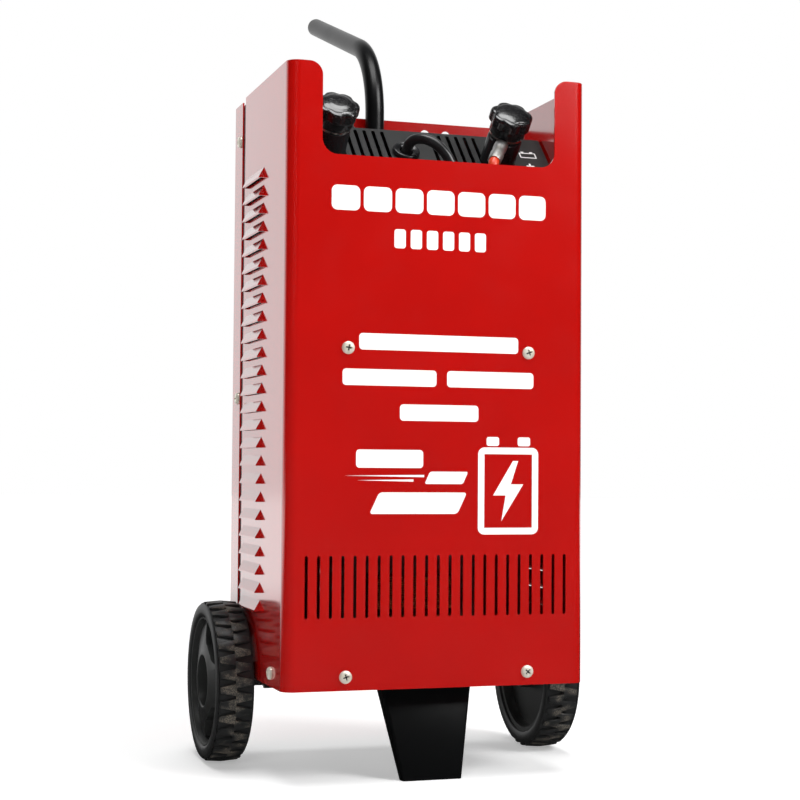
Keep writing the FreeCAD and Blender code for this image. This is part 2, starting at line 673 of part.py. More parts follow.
def handle_bolt_seats():
    """Bolts through the rear wall into the handle's clamps."""
    return [Vec(side * 18.0, CASE_DEPTH, deck_height - drop)
            for drop in TUBE_CLAMP_DROPS for side in (-1, 1)]


def handle_path():
    """Centre line of the handle, and the direction in which its grip points."""
    low = Vec(0, tube_from_front, deck_height - TUBE_TAIL)
    bend_start = Vec(0, tube_from_front, CASE_HEIGHT)
    bend = math.radians(TUBE_BEND_ANGLE)
    middle = bend / 2

    def on_bend(angle):
        back = TUBE_BEND_RADIUS * (1 - math.cos(angle))
        return bend_start + Y_AXIS * back + Z_AXIS * (TUBE_BEND_RADIUS * math.sin(angle))

    grip_direction = Vec(0, math.sin(bend), math.cos(bend))
    grip_end = on_bend(bend) + grip_direction * TUBE_GRIP_LENGTH
    edges = [Part.LineSegment(low, bend_start).toShape(),
             Part.Arc(bend_start, on_bend(middle), on_bend(bend)).toShape(),
             Part.LineSegment(on_bend(bend), grip_end).toShape()]
    return Part.Wire(edges), low, grip_end, grip_direction


def make_handle():
    """The bent tube, its end plug and the two clamps that hold it to the rear wall."""
    path, low, grip_end, grip_direction = handle_path()
    outer = path.makePipeShell([Part.Wire(Part.makeCircle(tube_radius, low, Z_AXIS))], True, False)
    inner = path.makePipeShell([Part.Wire(Part.makeCircle(tube_radius - TUBE_WALL, low, Z_AXIS))], True, False)
    keep("handle_tube", outer.cut(inner))

    flange = rod(grip_end, grip_direction, tube_radius, 3.0)
    rim = [e for e in flange.Edges if (e.CenterOfMass - grip_end - grip_direction * 3.0).Length < 0.01]
    flange = flange.makeFillet(2.4, rim)
    plug = rod(grip_end - grip_direction * 14.0, grip_direction, tube_radius - TUBE_WALL - 0.1, 14.0)
    keep("handle_end_cap", joined([flange, plug]))

    clamps = []
    for drop in TUBE_CLAMP_DROPS:
        z = deck_height - drop
        plate = box(-28.0, 28.0, rear_inner - 2.2, rear_inner - 0.2, z - 12.0, z + 12.0)
        band = rod(Vec(0, tube_from_front, z - 12.0), Z_AXIS, tube_radius + 2.2, 24.0)
        tube_room = rod(Vec(0, tube_from_front, z - 13.0), Z_AXIS, tube_radius + 0.04, 26.0)
        shell = joined([plate, band]).cut(tube_room)
        shell = shell.cut(box(-40.0, 40.0, rear_inner - 0.2, rear_inner + 20.0, z - 13.0, z + 13.0))
        for seat in handle_bolt_seats():
            if abs(seat.z - z) < 1:
                shell = shell.cut(screw_hole(seat, Y_AXIS))
        clamps.append(shell)
    keep("handle_clamps", group(clamps))


# Terminals

def post_centre(side):
    """Foot of a terminal post on the sloping panel."""
    return post_foot + X_AXIS * (side * POST_SPACING / 2)


def lobed_disc(centre, height):
    """A grip disc with shallow scallops between its lobes."""
    radius = KNOB_DIAMETER / 2
    disc = rod(centre, slope_normal, radius, height)
    scallops = []
    for i in range(KNOB_LOBES):
        turn = 2 * math.pi * (i + 0.5) / KNOB_LOBES
        radial = X_AXIS * math.cos(turn) + slope_up * math.sin(turn)
        scallops.append(rod(centre + radial * (radius + 5.5) - slope_normal, slope_normal, 8.0, height + 2))
    return disc.cut(scallops)


def make_terminals():
    """Both terminals: the right one clamps the red lead's lug."""
    left = make_terminal("left", -1, POST_HEIGHT + 0.2)
    right = make_terminal("right", 1, POST_HEIGHT + 0.3 + LUG_THICKNESS)
    for name, pair in zip(("terminal_posts", "terminal_studs", "stud_nuts"), zip(left, right)):
        keep(name, group(list(pair)))


def make_terminal(name, side, seat):
    """A post with its stud, and the knob and pressure washer that clamp a lug at the height of seat."""
    foot = post_centre(side)
    insulator = rod(foot + slope_normal * 0.1, slope_normal, POST_DIAMETER / 2, POST_HEIGHT)
    insulator = insulator.cut(rod(foot - slope_normal, slope_normal, STUD_DIAMETER / 2 + 0.05, POST_HEIGHT + 4))
    stud = rod(foot - slope_normal * 14.0, slope_normal, STUD_DIAMETER / 2, STUD_LENGTH)
    nut = ring(foot - slope_normal * 12.0, slope_normal, 9.0, STUD_DIAMETER / 2 + 0.02, 8.0)
    base = foot + slope_normal * seat
    washer_bore = STUD_DIAMETER / 2 + RUNNING_GAP
    washer = ring(base, slope_normal, POST_DIAMETER / 2 - 1.0, washer_bore, WASHER_THICKNESS)
    keep(name + "_pressure_washer", washer)
    base = base + slope_normal * (WASHER_THICKNESS + 0.1)
    skirt = rod(base, slope_normal, POST_DIAMETER / 2, KNOB_SKIRT + 1)
    cap = lobed_disc(base + slope_normal * KNOB_SKIRT, KNOB_CAP)
    dome_radius = KNOB_DIAMETER / 2 - 3.0
    dome_foot = base + slope_normal * (KNOB_SKIRT + KNOB_CAP)
    dome = Part.makeCone(dome_radius, dome_radius - 7.0, KNOB_DOME, dome_foot, slope_normal)
    knob = joined([skirt, cap, dome])
    socket = rod(base - slope_normal, slope_normal, STUD_DIAMETER / 2 + RUNNING_GAP, KNOB_SKIRT + KNOB_CAP)
    keep(name + "_knob", knob.cut(socket))
    return insulator, stud, nut


def lug_direction():
    """The way the lug's barrel points, along the panel's slope."""
    turn = math.radians(LUG_TURN)
    return slope_up * -math.cos(turn) - X_AXIS * math.sin(turn)


def lug_exit():
    """Centre of the lug barrel's open end."""
    return post_centre(1) + slope_normal * (POST_HEIGHT + 0.2 + LUG_THICKNESS / 2) + lug_direction() * LUG_REACH


def make_red_lug():
    """A ring lug on the right terminal: a flat eye and a crimped barrel."""
    direction = lug_direction()
    seat = post_centre(1) + slope_normal * (POST_HEIGHT + 0.2)
    eye = ring(seat, slope_normal, LUG_EYE_DIAMETER / 2, STUD_DIAMETER / 2 + 0.15, LUG_THICKNESS)
    across = direction.cross(slope_normal)
    corner = seat + direction * 8.0
    side = across * (LUG_PALM_WIDTH / 2)
    run = direction * 10.0
    palm = prism([corner - side, corner + side, corner + run + side, corner + run - side],
                 slope_normal * LUG_THICKNESS)
    middle = seat + slope_normal * (LUG_THICKNESS / 2)
    length = LUG_REACH - LUG_PALM_END
    barrel = rod(middle + direction * LUG_PALM_END, direction, LUG_BARREL_DIAMETER / 2, length)
    lug = joined([eye, palm, barrel])
    bore = rod(lug_exit() - direction * 12.0, direction, LEAD_DIAMETER / 2 + 0.05, 13.0)
    keep("red_lug", lug.cut(bore))


def gland_centre():
    """Foot of the cable gland on the sloping panel."""
    return slope_foot + slope_up * GLAND_UP_SLOPE + X_AXIS * GLAND_OFFSET


def make_gland():
    """The panel's cable gland and the nut that holds it from behind."""
    foot = gland_centre()
    collar = rod(foot + slope_normal * 0.1, slope_normal, GLAND_DIAMETER / 2, GLAND_HEIGHT)
    face = foot + slope_normal * (GLAND_HEIGHT + 0.1)
    rim = [e for e in collar.Edges if (e.CenterOfMass - face).Length < 0.01]
    collar = collar.makeFillet(2.0, rim)
    thread = rod(foot - slope_normal * 12.0, slope_normal, GLAND_THREAD_DIAMETER / 2, 13.0)
    gland = joined([collar, thread])
    keep("cable_gland", gland.cut(rod(foot - slope_normal * 13.0, slope_normal, LEAD_DIAMETER / 2 + 0.8, 30.0)))
    nut = ring(foot - slope_normal * 9.0, slope_normal, 13.0, GLAND_THREAD_DIAMETER / 2 + 0.03, 6.0)
    keep("gland_nut", nut)


# Controls on the deck

def deck_point(place, height=0.0):
    """A point over the deck's upper face, in the row of controls."""
    return Vec(place, controls_from_front, deck_height + height)


def deck_round_holes():
    """Round holes in the deck, as centre and radius."""
    return [(deck_point(SELECTOR_PLACE), 5.2), (deck_point(FUSE_PLACE), FUSE_DIAMETER / 2 + 0.2)]


def deck_square_holes():
    """Square holes in the deck, as X and Y limits."""
    half = METER_SIZE / 2 - 3.8
    y = controls_from_front
    half_x = ROCKER_WIDTH / 2 + 0.2
    half_y = ROCKER_LENGTH / 2 + 0.2
    return [(METER_PLACE - half, METER_PLACE + half, y - half, y + half),
            (ROCKER_PLACE - half_x, ROCKER_PLACE + half_x, y - half_y, y + half_y)]


def make_selector():
    """The charge-rate selector: a rotary switch under the deck and its knob."""
    low = deck_point(SELECTOR_PLACE)
    body = rod(low - Z_AXIS * 32.0, Z_AXIS, 19.0, 32.0 - SHEET - 0.1)
    collar = rod(low - Z_AXIS * 4.0, Z_AXIS, 5.0, 6.0)
    shaft = rod(low, Z_AXIS, 3.0, 18.0)
    keep("selector_switch", joined([body, collar, shaft]))
    base = low + Z_AXIS * 2.4
    skirt = rod(base, Z_AXIS, SELECTOR_DIAMETER / 2, 6.0)
    grip = rod(base, Z_AXIS, SELECTOR_DIAMETER / 2 - 1.5, SELECTOR_HEIGHT)
    flutes = []
    for i in range(SELECTOR_FLUTES):
        turn = 2 * math.pi * i / SELECTOR_FLUTES
        centre = base + Vec(math.cos(turn), math.sin(turn), 0) * (SELECTOR_DIAMETER / 2 + 0.8) + Z_AXIS * 8.0
        flutes.append(rod(centre, Z_AXIS, 4.0, SELECTOR_HEIGHT))
    knob = joined([skirt, grip]).cut(flutes)
    keep("selector_knob", knob.cut(rod(base - Z_AXIS, Z_AXIS, 3.0 + RUNNING_GAP, 18.0)))


def meter_pivot():
    """Where the pointer turns, on the dial."""
    return Vec(METER_PLACE, controls_from_front - 12.0, deck_height - 3.0)


def make_meter():
    """The ammeter: a case let into the deck, a dial, a pointer on a pin, and a window."""
    half = METER_SIZE / 2
    x = METER_PLACE
    y = controls_from_front
    body_half = half - 4.0
    bezel = box(x - half, x + half, y - half, y + half, deck_height + 0.1, deck_height + METER_LIFT)
    body = box(x - body_half, x + body_half, y - body_half, y + body_half,
               deck_height - 28.0, deck_height + 0.2)
    case = joined([bezel, body])
    wall = body_half - METER_WALL
    case = case.cut(box(x - wall, x + wall, y - wall, y + wall, deck_height - 8.0, deck_height + 10.0))
    keep("ammeter_case", case)
    dial_half = wall - 0.1
    dial_top = deck_height - DIAL_DEPTH
    dial = box(x - dial_half, x + dial_half, y - dial_half, y + dial_half, dial_top - DIAL_THICKNESS, dial_top)
    pivot = meter_pivot()
    pin = rod(Vec(pivot.x, pivot.y, deck_height - 7.0), Z_AXIS, DIAL_PIN_RADIUS, 5.5)
    keep("ammeter_dial", joined([dial, pin]))
    reach = dial_half + 8.0
    hub = rod(pivot - Z_AXIS * 0.6, Z_AXIS, 3.0, 1.2)
    blade = prism([pivot + Vec(-0.9, 0, -0.5), pivot + Vec(0.9, 0, -0.5), pivot + Vec(0.25, reach, -0.5),
                   pivot + Vec(-0.25, reach, -0.5)], Vec(0, 0, 1.0))
    needle = joined([hub, blade]).cut(rod(pivot - Z_AXIS * 2, Z_AXIS, DIAL_PIN_RADIUS + RUNNING_GAP, 4.0))
    needle.rotate(pivot, Z_AXIS, NEEDLE_REST)
    keep("ammeter_needle", needle)
    keep("ammeter_window", box(x - dial_half, x + dial_half, y - dial_half, y + dial_half,
                               deck_height + 0.6, deck_height + 2.2))


def rocker_pivot():
    """Axis of the rocker, along X."""
    return deck_point(ROCKER_PLACE, -1.0)


def make_rocker():
    """The on-off switch: a frame let into the deck and a rocker on a cross pin."""
    x = ROCKER_PLACE
    y = controls_from_front
    half_x = ROCKER_WIDTH / 2
    half_y = ROCKER_LENGTH / 2
    bezel = box(x - half_x - 2.5, x + half_x + 2.5, y - half_y - 2.5, y + half_y + 2.5,
                deck_height + 0.1, deck_height + 2.0)
    body = box(x - half_x, x + half_x, y - half_y, y + half_y, deck_height - 24.0, deck_height + 0.2)
    frame = joined([bezel, body])
    frame = frame.cut(box(x - half_x + 2.0, x + half_x - 2.0, y - half_y + 2.0, y + half_y - 2.0,
                          deck_height - 10.0, deck_height + 10.0))
    pivot = rocker_pivot()
    pin = rod(pivot - X_AXIS * (half_x - 1.0), X_AXIS, ROCKER_PIN_RADIUS, 2 * half_x - 2.0)
    keep("power_switch_frame", joined([frame, pin]))
    half_wide = half_x - 2.3
    long_half = half_y - 3.2
    outline = [(-long_half, -3.0), (-long_half, 3.4), (0, 1.6), (long_half, 3.4), (long_half, -3.0)]
    block = prism([pivot + Vec(-half_wide, dy, dz) for dy, dz in outline], Vec(2 * half_wide, 0, 0))
    block = block.cut(rod(pivot - X_AXIS * half_x, X_AXIS, ROCKER_PIN_RADIUS + RUNNING_GAP, 2 * half_x))
    block.rotate(pivot, X_AXIS, ROCKER_TILT)
    keep("power_rocker", block)


def make_fuse():
    """The fuse holder with its quarter-turn cap."""
    low = deck_point(FUSE_PLACE)
    flange = rod(low + Z_AXIS * 0.1, Z_AXIS, FUSE_DIAMETER / 2 + 3.0, 2.0)
    body = rod(low - Z_AXIS * 34.0, Z_AXIS, FUSE_DIAMETER / 2, 35.0)
    bore_radius = FUSE_DIAMETER / 2 - FUSE_WALL
    holder = joined([flange, body]).cut(rod(low - Z_AXIS * 30.0, Z_AXIS, bore_radius, 40.0))
    keep("fuse_holder", holder)
    stem = rod(low - Z_AXIS * 12.0, Z_AXIS, bore_radius - RUNNING_GAP, 15.0)
    head = rod(low + Z_AXIS * 2.4, Z_AXIS, FUSE_DIAMETER / 2 + 1.0, 5.0)
    notch = box(low.x - 1.0, low.x + 1.0, low.y - 8.0, low.y + 8.0, low.z + 6.4, low.z + 8.0)
    keep("fuse_cap", joined([stem, head]).cut(notch))


# Inside

def make_transformer():
    """Core, two windings and the two straps that hold the core to the tray."""
    y1 = CASE_DEPTH - CORE_FROM_REAR
    y0 = y1 - CORE_STACK
    low = SHEET + CORE_FOOT
    half = CORE_WIDTH / 2
    core = box(-half, half, y0, y1, low, low + CORE_HEIGHT)
    middle_leg = CORE_LEG / 2
    window_end = half - CORE_LEG
    for x0, x1 in ((-window_end, -middle_leg), (middle_leg, window_end)):
        core = core.cut(box(x0, x1, y0 - 1, y1 + 1, low + CORE_LEG, low + CORE_HEIGHT - CORE_LEG))
    keep("transformer_core", core)
    coil_half = window_end - 2.0
    coil_low = low + CORE_LEG + 2.0
    winding = box(-coil_half, coil_half, y0 - COIL_OVERHANG, y1 + COIL_OVERHANG,
                  coil_low, coil_low + WINDING_HEIGHT)
    hole = box(-middle_leg - 0.5, middle_leg + 0.5, y0 - 0.5, y1 + 0.5, low, low + CORE_HEIGHT)
    winding = winding.cut(hole)
    keep("primary_winding", winding)
    upper = winding.copy()
    upper.translate(Vec(0, 0, WINDING_STEP))
    keep("secondary_winding", upper)
    straps = []
    for side in (-1, 1):
        x0, x1 = sorted((side * (half - 20.0), side * (half + 22.0)))
        straps.append(box(x0, x1, y0 + 8.0, y1 - 8.0, SHEET + 0.1, low - 0.1))
    keep("transformer_rails", group(straps))


def make_rectifier():
    """A finned heatsink with four press-in diodes, on two legs."""
    half = SINK_WIDTH / 2
    z0 = SINK_BOTTOM
    z1 = SINK_BOTTOM + SINK_HEIGHT
    fin_start = SINK_FRONT + SINK_BASE - 0.5
    fin_pitch = (SINK_WIDTH - FIN_THICKNESS) / (SINK_FINS - 1)
    base = box(-half, half, SINK_FRONT, SINK_FRONT + SINK_BASE, z0, z1)
    fins = []
    for i in range(SINK_FINS):
        x0 = -half + i * fin_pitch
        fins.append(box(x0, x0 + FIN_THICKNESS, fin_start, fin_start + SINK_FIN_DEPTH, z0, z1))
    legs = [box(x0, x0 + 8.0, SINK_FRONT - 4.0, SINK_FRONT + 0.5, z0 - 42.0, z1) for x0 in (-half, half - 8.0)]
    sink = joined([base] + fins + legs)
    diodes = []
    for i in range(4):
        place = Vec((i - 1.5) * DIODE_PITCH, SINK_FRONT, z0 + SINK_HEIGHT / 2)
        sink = sink.cut(rod(place - Y_AXIS, Y_AXIS, DIODE_RADIUS + 0.05, 5.0))
        can = rod(place + Y_AXIS * 3.5, Y_AXIS * -1, DIODE_RADIUS, 9.0)
        wire = rod(place - Y_AXIS * 5.0, Y_AXIS * -1, 1.6, 12.0)
        diodes.append(joined([can, wire]))
    keep("rectifier_heatsink", sink)
    keep("rectifier_diodes", group(diodes))


def mains_gland_place():
    """Centre of the mains inlet on the rear wall."""
    return Vec(MAINS_PLACE[0], CASE_DEPTH, MAINS_PLACE[1])


def make_mains_gland():
    """The mains lead's inlet gland; the lead itself isn't part of the object."""
    place = mains_gland_place()
    hexagon = rod(place + Y_AXIS * 0.1, Y_AXIS, 12.0, 6.0)
    nose = Part.makeCone(10.0, 7.0, 12.0, place + Y_AXIS * 6.0, Y_AXIS)
    thread = rod(place - Y_AXIS * 12.0, Y_AXIS, 7.7, 13.0)
    gland = joined([hexagon, nose, thread])
    keep("mains_gland", gland.cut(rod(place - Y_AXIS * 13.0, Y_AXIS, MAINS_CORD_RADIUS, 40.0)))


def make_screws():
    """All the fasteners, grouped by where they go."""
    front = [screw(seat, Vec(0, -1, 0)) for seat in front_screw_seats()]
    side = [screw(seat, X_AXIS, 9.0) for seat in side_screw_seats() + flange_screw_seats()]
    keep("case_screws", group(front + side + [mirrored(s) for s in side]))
    inner = [screw(seat - Z_AXIS * 3.2, Z_AXIS * -1, 8.0) for seat in foot_screw_seats()]
    inner += [screw(seat - Z_AXIS * 2.1, Z_AXIS * -1, 8.0) for seat in saddle_screw_seats()]
    inner += [screw(seat, Y_AXIS, 8.0) for seat in handle_bolt_seats()]
    keep("chassis_screws", group(inner))


# Battery clamps and leads

def clamp_frame(side, height):
    """Jaw tip and handle-ward direction of a stored clamp: side is the side that its handles point to."""
    towards = X_AXIS * side
    tip = Vec(side * (CLAMP_REAR_PLACE - CLAMP_LENGTH), CLAMP_FROM_FRONT, height)
    return tip, towards


def make_clamp(name, side, height, flip):
    """A sprung battery clamp lying along X: the fixed arm carries the lead, the other one turns on the pin."""
    tip, towards = clamp_frame(side, height)
    up = Z_AXIS * flip
    half_width_y = Y_AXIS * (CLAMP_WIDTH / 2)

    def arm(sense, width):
        points = [tip + towards * u + up * (sense * w) - Y_AXIS * (width / 2) for u, w in CLAMP_ARM]
        return prism(points, Y_AXIS * width)

    pivot = tip + towards * CLAMP_PIVOT
    pin_radius = CLAMP_PIN_DIAMETER / 2
    inner_width = CLAMP_TONGUE_WIDTH
    fixed = arm(1, CLAMP_WIDTH)
    ears = ring(pivot - half_width_y, Y_AXIS, CLAMP_EAR_RADIUS, pin_radius, CLAMP_WIDTH)
    fixed = joined([fixed, ears])
    gap = rod(pivot - Y_AXIS * (inner_width / 2 + 0.4), Y_AXIS, 14.0, inner_width + 0.8)
    fixed = fixed.cut(gap).cut(rod(pivot - Y_AXIS * 20, Y_AXIS, pin_radius + 0.02, 40))
    lead_end = tip + towards * CLAMP_LENGTH + up * 20.5
    fixed = fixed.cut(rod(lead_end - towards * 10.0, towards, LEAD_DIAMETER / 2 + 0.05, 11.0))
    keep(name + "_clamp_fixed_arm", fixed)

    moving = arm(-1, CLAMP_WIDTH)
    room = rod(pivot - Y_AXIS * 20, Y_AXIS, CLAMP_EAR_RADIUS + 0.6, 40)
    tongue = rod(pivot - Y_AXIS * (inner_width / 2), Y_AXIS, CLAMP_EAR_RADIUS - 1.0, inner_width)
    neck_points = [pivot + towards * u + up * w - Y_AXIS * (inner_width / 2)
                   for u, w in ((-9.0, 0), (9.0, 0), (12.0, -12.0), (-14.0, -11.0))]
    moving = joined([moving.cut(room), tongue, prism(neck_points, Y_AXIS * inner_width)])
    keep(name + "_clamp_moving_arm", moving.cut(rod(pivot - Y_AXIS * 20, Y_AXIS, pin_radius + RUNNING_GAP, 40)))
    pin = rod(pivot - Y_AXIS * 11.6, Y_AXIS, pin_radius, 23.2)
    coils = [ring(pivot + Y_AXIS * y0, Y_AXIS, 6.0, pin_radius + 0.1, 2.0) for y0 in (-11.3, 9.3)]
    return lead_end, pin, coils


def make_tube(name, points, radius):
    """A lead: straight runs joined by tangent arcs as large as the runs allow."""
    edges = []
    here = points[0]
    for i in range(1, len(points) - 1):
        before = points[i] - points[i - 1]
        after = points[i + 1] - points[i]
        turn = before.getAngle(after)
        shorter = min(before.Length, after.Length)
        setback = 0.45 * shorter
        bend = setback / math.tan(turn / 2)
        unit_in = Vec(before).normalize()
        unit_out = Vec(after).normalize()
        start = points[i] - unit_in * setback
        end = points[i] + unit_out * setback
        to_centre = (unit_out - unit_in).normalize()
        centre = points[i] + to_centre * (bend / math.cos(turn / 2))
        middle = centre - to_centre * bend
        edges.append(Part.LineSegment(here, start).toShape())
        edges.append(Part.Arc(start, middle, end).toShape())
        here = end
    edges.append(Part.LineSegment(here, points[-1]).toShape())
    path = Part.Wire(edges)
    start_direction = points[1] - points[0]
    section = Part.Wire(Part.makeCircle(radius, points[0], start_direction))
    tube = path.makePipeShell([section], True, False)
    print(name, "length", round(path.Length, 1))
    keep(name, tube)


def coil_centre(side):
    """Centre of a stored coil."""
    return Vec(side * COIL_SPACING / 2, COIL_FROM_FRONT, coil_height)


def make_coil(name, side):
    """The put-away turns of a lead as one plain ring."""
    start = coil_centre(side) - Y_AXIS * (COIL_DEPTH / 2)
    keep(name, ring(start, Y_AXIS, COIL_RIM_RADIUS, COIL_BORE_RADIUS, COIL_DEPTH))


def wrap_points(side, first_angle, last_angle, first_depth, last_depth, steps):
    """Points round a coil's outer turn, moving forward layer by layer; angles run from +X towards +Z."""
    centre = coil_centre(side)
    half_step = math.radians(abs(last_angle - first_angle) / steps / 2)
    corner_radius = (COIL_RADIUS + LEAD_DIAMETER / 2) / math.cos(half_step)
    points = []
    for i in range(steps + 1):
        share = i / steps
        angle = math.radians(first_angle + (last_angle - first_angle) * share)
        depth = first_depth + (last_depth - first_depth) * share
        across = corner_radius * math.cos(angle)
        rise = corner_radius * math.sin(angle)
        points.append(Vec(centre.x + across, depth, centre.z + rise))
    return points


def make_leads(black_end, red_end):
    """Both leads: from gland or lug down to the coil, the coil, and round to the clamp."""
    radius = LEAD_DIAMETER / 2
    exit_face = gland_centre() + slope_normal * (GLAND_HEIGHT + 0.1)
    black = [exit_face, Vec(-6.0, 63.5, 505.0), Vec(5.0, 52.0, 504.0), Vec(20.0, 46.0, 494.0),
             Vec(31.0, 45.0, 476.0), Vec(32.0, 47.0, 452.0), Vec(20.0, 49.0, 426.0), Vec(3.0, 49.0, 402.0),
             Vec(-7.5, 49.0, 379.0), Vec(-9.0, 49.0, 356.0)]
    make_tube("black_lead", black, radius)
    start = lug_exit() - lug_direction() * 10.0
    red = [start, lug_exit() + lug_direction() * 9.0, Vec(58.5, 22.0, 457.0), Vec(66.0, 30.0, 436.0),
           Vec(84.0, 40.0, 421.0), Vec(104.0, 46.5, 407.0), Vec(116.0, 49.0, 386.0), Vec(119.0, 49.0, 362.0)]
    make_tube("red_lead", red, radius)
    make_coil("black_coil", -1)
    make_coil("red_coil", 1)
    black_tail = wrap_points(-1, -112.5, -247.5, 40.0, 17.0, 3)
    black_tail += [Vec(black_end.x - 20.0, black_end.y, black_end.z), black_end + X_AXIS * 9.0]
    make_tube("black_tail", black_tail, radius)
    red_tail = wrap_points(1, 67.5, -67.5, 40.0, 17.0, 3)
    red_tail += [Vec(red_end.x + 20.0, red_end.y, red_end.z), red_end - X_AXIS * 9.0]
    make_tube("red_tail", red_tail, radius)


CORD_NODES = ("black_lead", "black_coil", "black_tail", "red_lead", "red_coil", "red_tail", "red_lug",
              "black_clamp_fixed_arm", "black_clamp_moving_arm", "red_clamp_fixed_arm", "red_clamp_moving_arm",
              "clamp_pins", "clamp_springs")


def write_nodes():
    """Stand the part on Z = 0 over the origin and write one STEP per node."""
    bounds = FreeCAD.BoundBox()
    for name, shape in nodes.items():
        if name not in CORD_NODES:
            bounds.add(shape.BoundBox)
    move = Vec(-bounds.Center.x, -bounds.Center.y, -bounds.ZMin)
    print("moved by", move.x, move.y, move.z)
    print("size", bounds.XLength, bounds.YLength, bounds.ZLength)
    os.makedirs("parts", exist_ok=True)
    for name, shape in nodes.items():
        shape.translate(move)
        if not shape.isValid() or not shape.Solids:
            print("bad shape", name)
        shape.exportStep("parts/" + name + ".step")


def main():
    """Build every node and write it."""
    make_front_shell()
    make_rear_cover()
    make_base_tray()
    make_uprights()
    make_control_panel()
    make_cable_pocket()
    make_front_foot()
    make_running_gear()
    make_wheel()
    make_handle()
    make_terminals()
    make_red_lug()
    make_gland()
    make_selector()
    make_meter()
    make_rocker()
    make_fuse()
    make_transformer()
    make_rectifier()
    make_mains_gland()
    make_screws()
    black_end, black_pin, black_springs = make_clamp("black", -1, upper_clamp_height, 1)
    red_end, red_pin, red_springs = make_clamp("red", 1, lower_clamp_height, -1)
    keep("clamp_pins", group([black_pin, red_pin]))
    keep("clamp_springs", group(black_springs + red_springs))
    make_leads(black_end, red_end)
    write_nodes()
    print(len(nodes), "nodes")


main()
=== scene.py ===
"""Looks of a trolley battery charger and jump starter, built round its fixed frame.

Every piece is made in case millimetres (X = 0 in the middle, Y = 0 on the front face, Z = 0 at the case's
bottom edge) and moved into the frame's metres when it is finished.
"""

import logging
import math
from dataclasses import dataclass, field
from enum import Enum
from typing import Callable, Iterable, Optional, Sequence

import bmesh
import bpy
from mathutils import Matrix, Vector


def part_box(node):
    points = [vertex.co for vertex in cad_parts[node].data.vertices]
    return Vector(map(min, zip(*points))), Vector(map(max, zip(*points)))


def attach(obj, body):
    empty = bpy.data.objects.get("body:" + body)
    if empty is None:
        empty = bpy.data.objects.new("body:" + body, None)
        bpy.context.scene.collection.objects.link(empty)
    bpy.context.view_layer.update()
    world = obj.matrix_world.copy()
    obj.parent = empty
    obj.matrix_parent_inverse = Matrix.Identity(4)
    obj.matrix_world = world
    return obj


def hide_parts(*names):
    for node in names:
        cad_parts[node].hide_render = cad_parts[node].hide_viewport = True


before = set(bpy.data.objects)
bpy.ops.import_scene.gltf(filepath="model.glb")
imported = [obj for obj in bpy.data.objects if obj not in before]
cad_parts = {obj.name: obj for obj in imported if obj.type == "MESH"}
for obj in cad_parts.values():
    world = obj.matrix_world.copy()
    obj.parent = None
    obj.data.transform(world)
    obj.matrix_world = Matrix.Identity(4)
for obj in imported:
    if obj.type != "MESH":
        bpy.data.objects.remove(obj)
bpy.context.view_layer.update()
LOG = logging.getLogger("charger")

X_AXIS = Vector((1.0, 0.0, 0.0))
Y_AXIS = Vector((0.0, 1.0, 0.0))
Z_AXIS = Vector((0.0, 0.0, 1.0))
FRONT = Vector((0.0, -1.0, 0.0))


class Side(Enum):
    """Left or right of the case, as the sign of X."""

    LEFT = -1
    RIGHT = 1

    @property
    def word(self) -> str:
        """The side's name in piece names."""
        return self.name.lower()


# ---------------------------------------------------------------- shader tools


class Signal:
    """A number that changes over a surface: a shader socket with Python's arithmetic."""

    def __init__(self, recipe: "Recipe", socket: bpy.types.NodeSocket) -> None:
        """Wrap one output socket of a recipe's tree."""
        self.recipe = recipe
        self.socket = socket

    def _with(self, operation: str, first: object, second: object) -> "Signal":
        """Add one Math node.

        Args:
            operation: the Math node's operation.
            first: a signal or number for the first socket.
            second: a signal or number for the second socket.

        Returns:
            The node's result.
        """
        node = self.recipe.add("ShaderNodeMath", {"operation": operation}, {0: first, 1: second})
        return Signal(self.recipe, node.outputs[0])

    def __add__(self, other: object) -> "Signal":
        """self + other."""
        return self._with("ADD", self, other)

    __radd__ = __add__

    def __sub__(self, other: object) -> "Signal":
        """self - other."""
        return self._with("SUBTRACT", self, other)

    def __rsub__(self, other: object) -> "Signal":
        """other - self."""
        return self._with("SUBTRACT", other, self)

    def __mul__(self, other: object) -> "Signal":
        """self * other."""
        return self._with("MULTIPLY", self, other)

    __rmul__ = __mul__

    def __truediv__(self, other: object) -> "Signal":
        """self / other."""
        return self._with("DIVIDE", self, other)

    def __pow__(self, other: object) -> "Signal":
        """self ** other."""
        return self._with("POWER", self, other)

    def wave(self) -> "Signal":
        """The sine of the signal."""
        return self._with("SINE", self, 0.0)

    def size(self) -> "Signal":
        """The signal without its sign."""
        return self._with("ABSOLUTE", self, 0.0)

    def held(self, low: float, high: float) -> "Signal":
        """The signal rescaled from low..high to 0..1 and kept there."""
        settings = {"interpolation_type": "SMOOTHSTEP", "clamp": True}
        node = self.recipe.add("ShaderNodeMapRange", settings,
                               {"Value": self, "From Min": low, "From Max": high})
        return Signal(self.recipe, node.outputs["Result"])


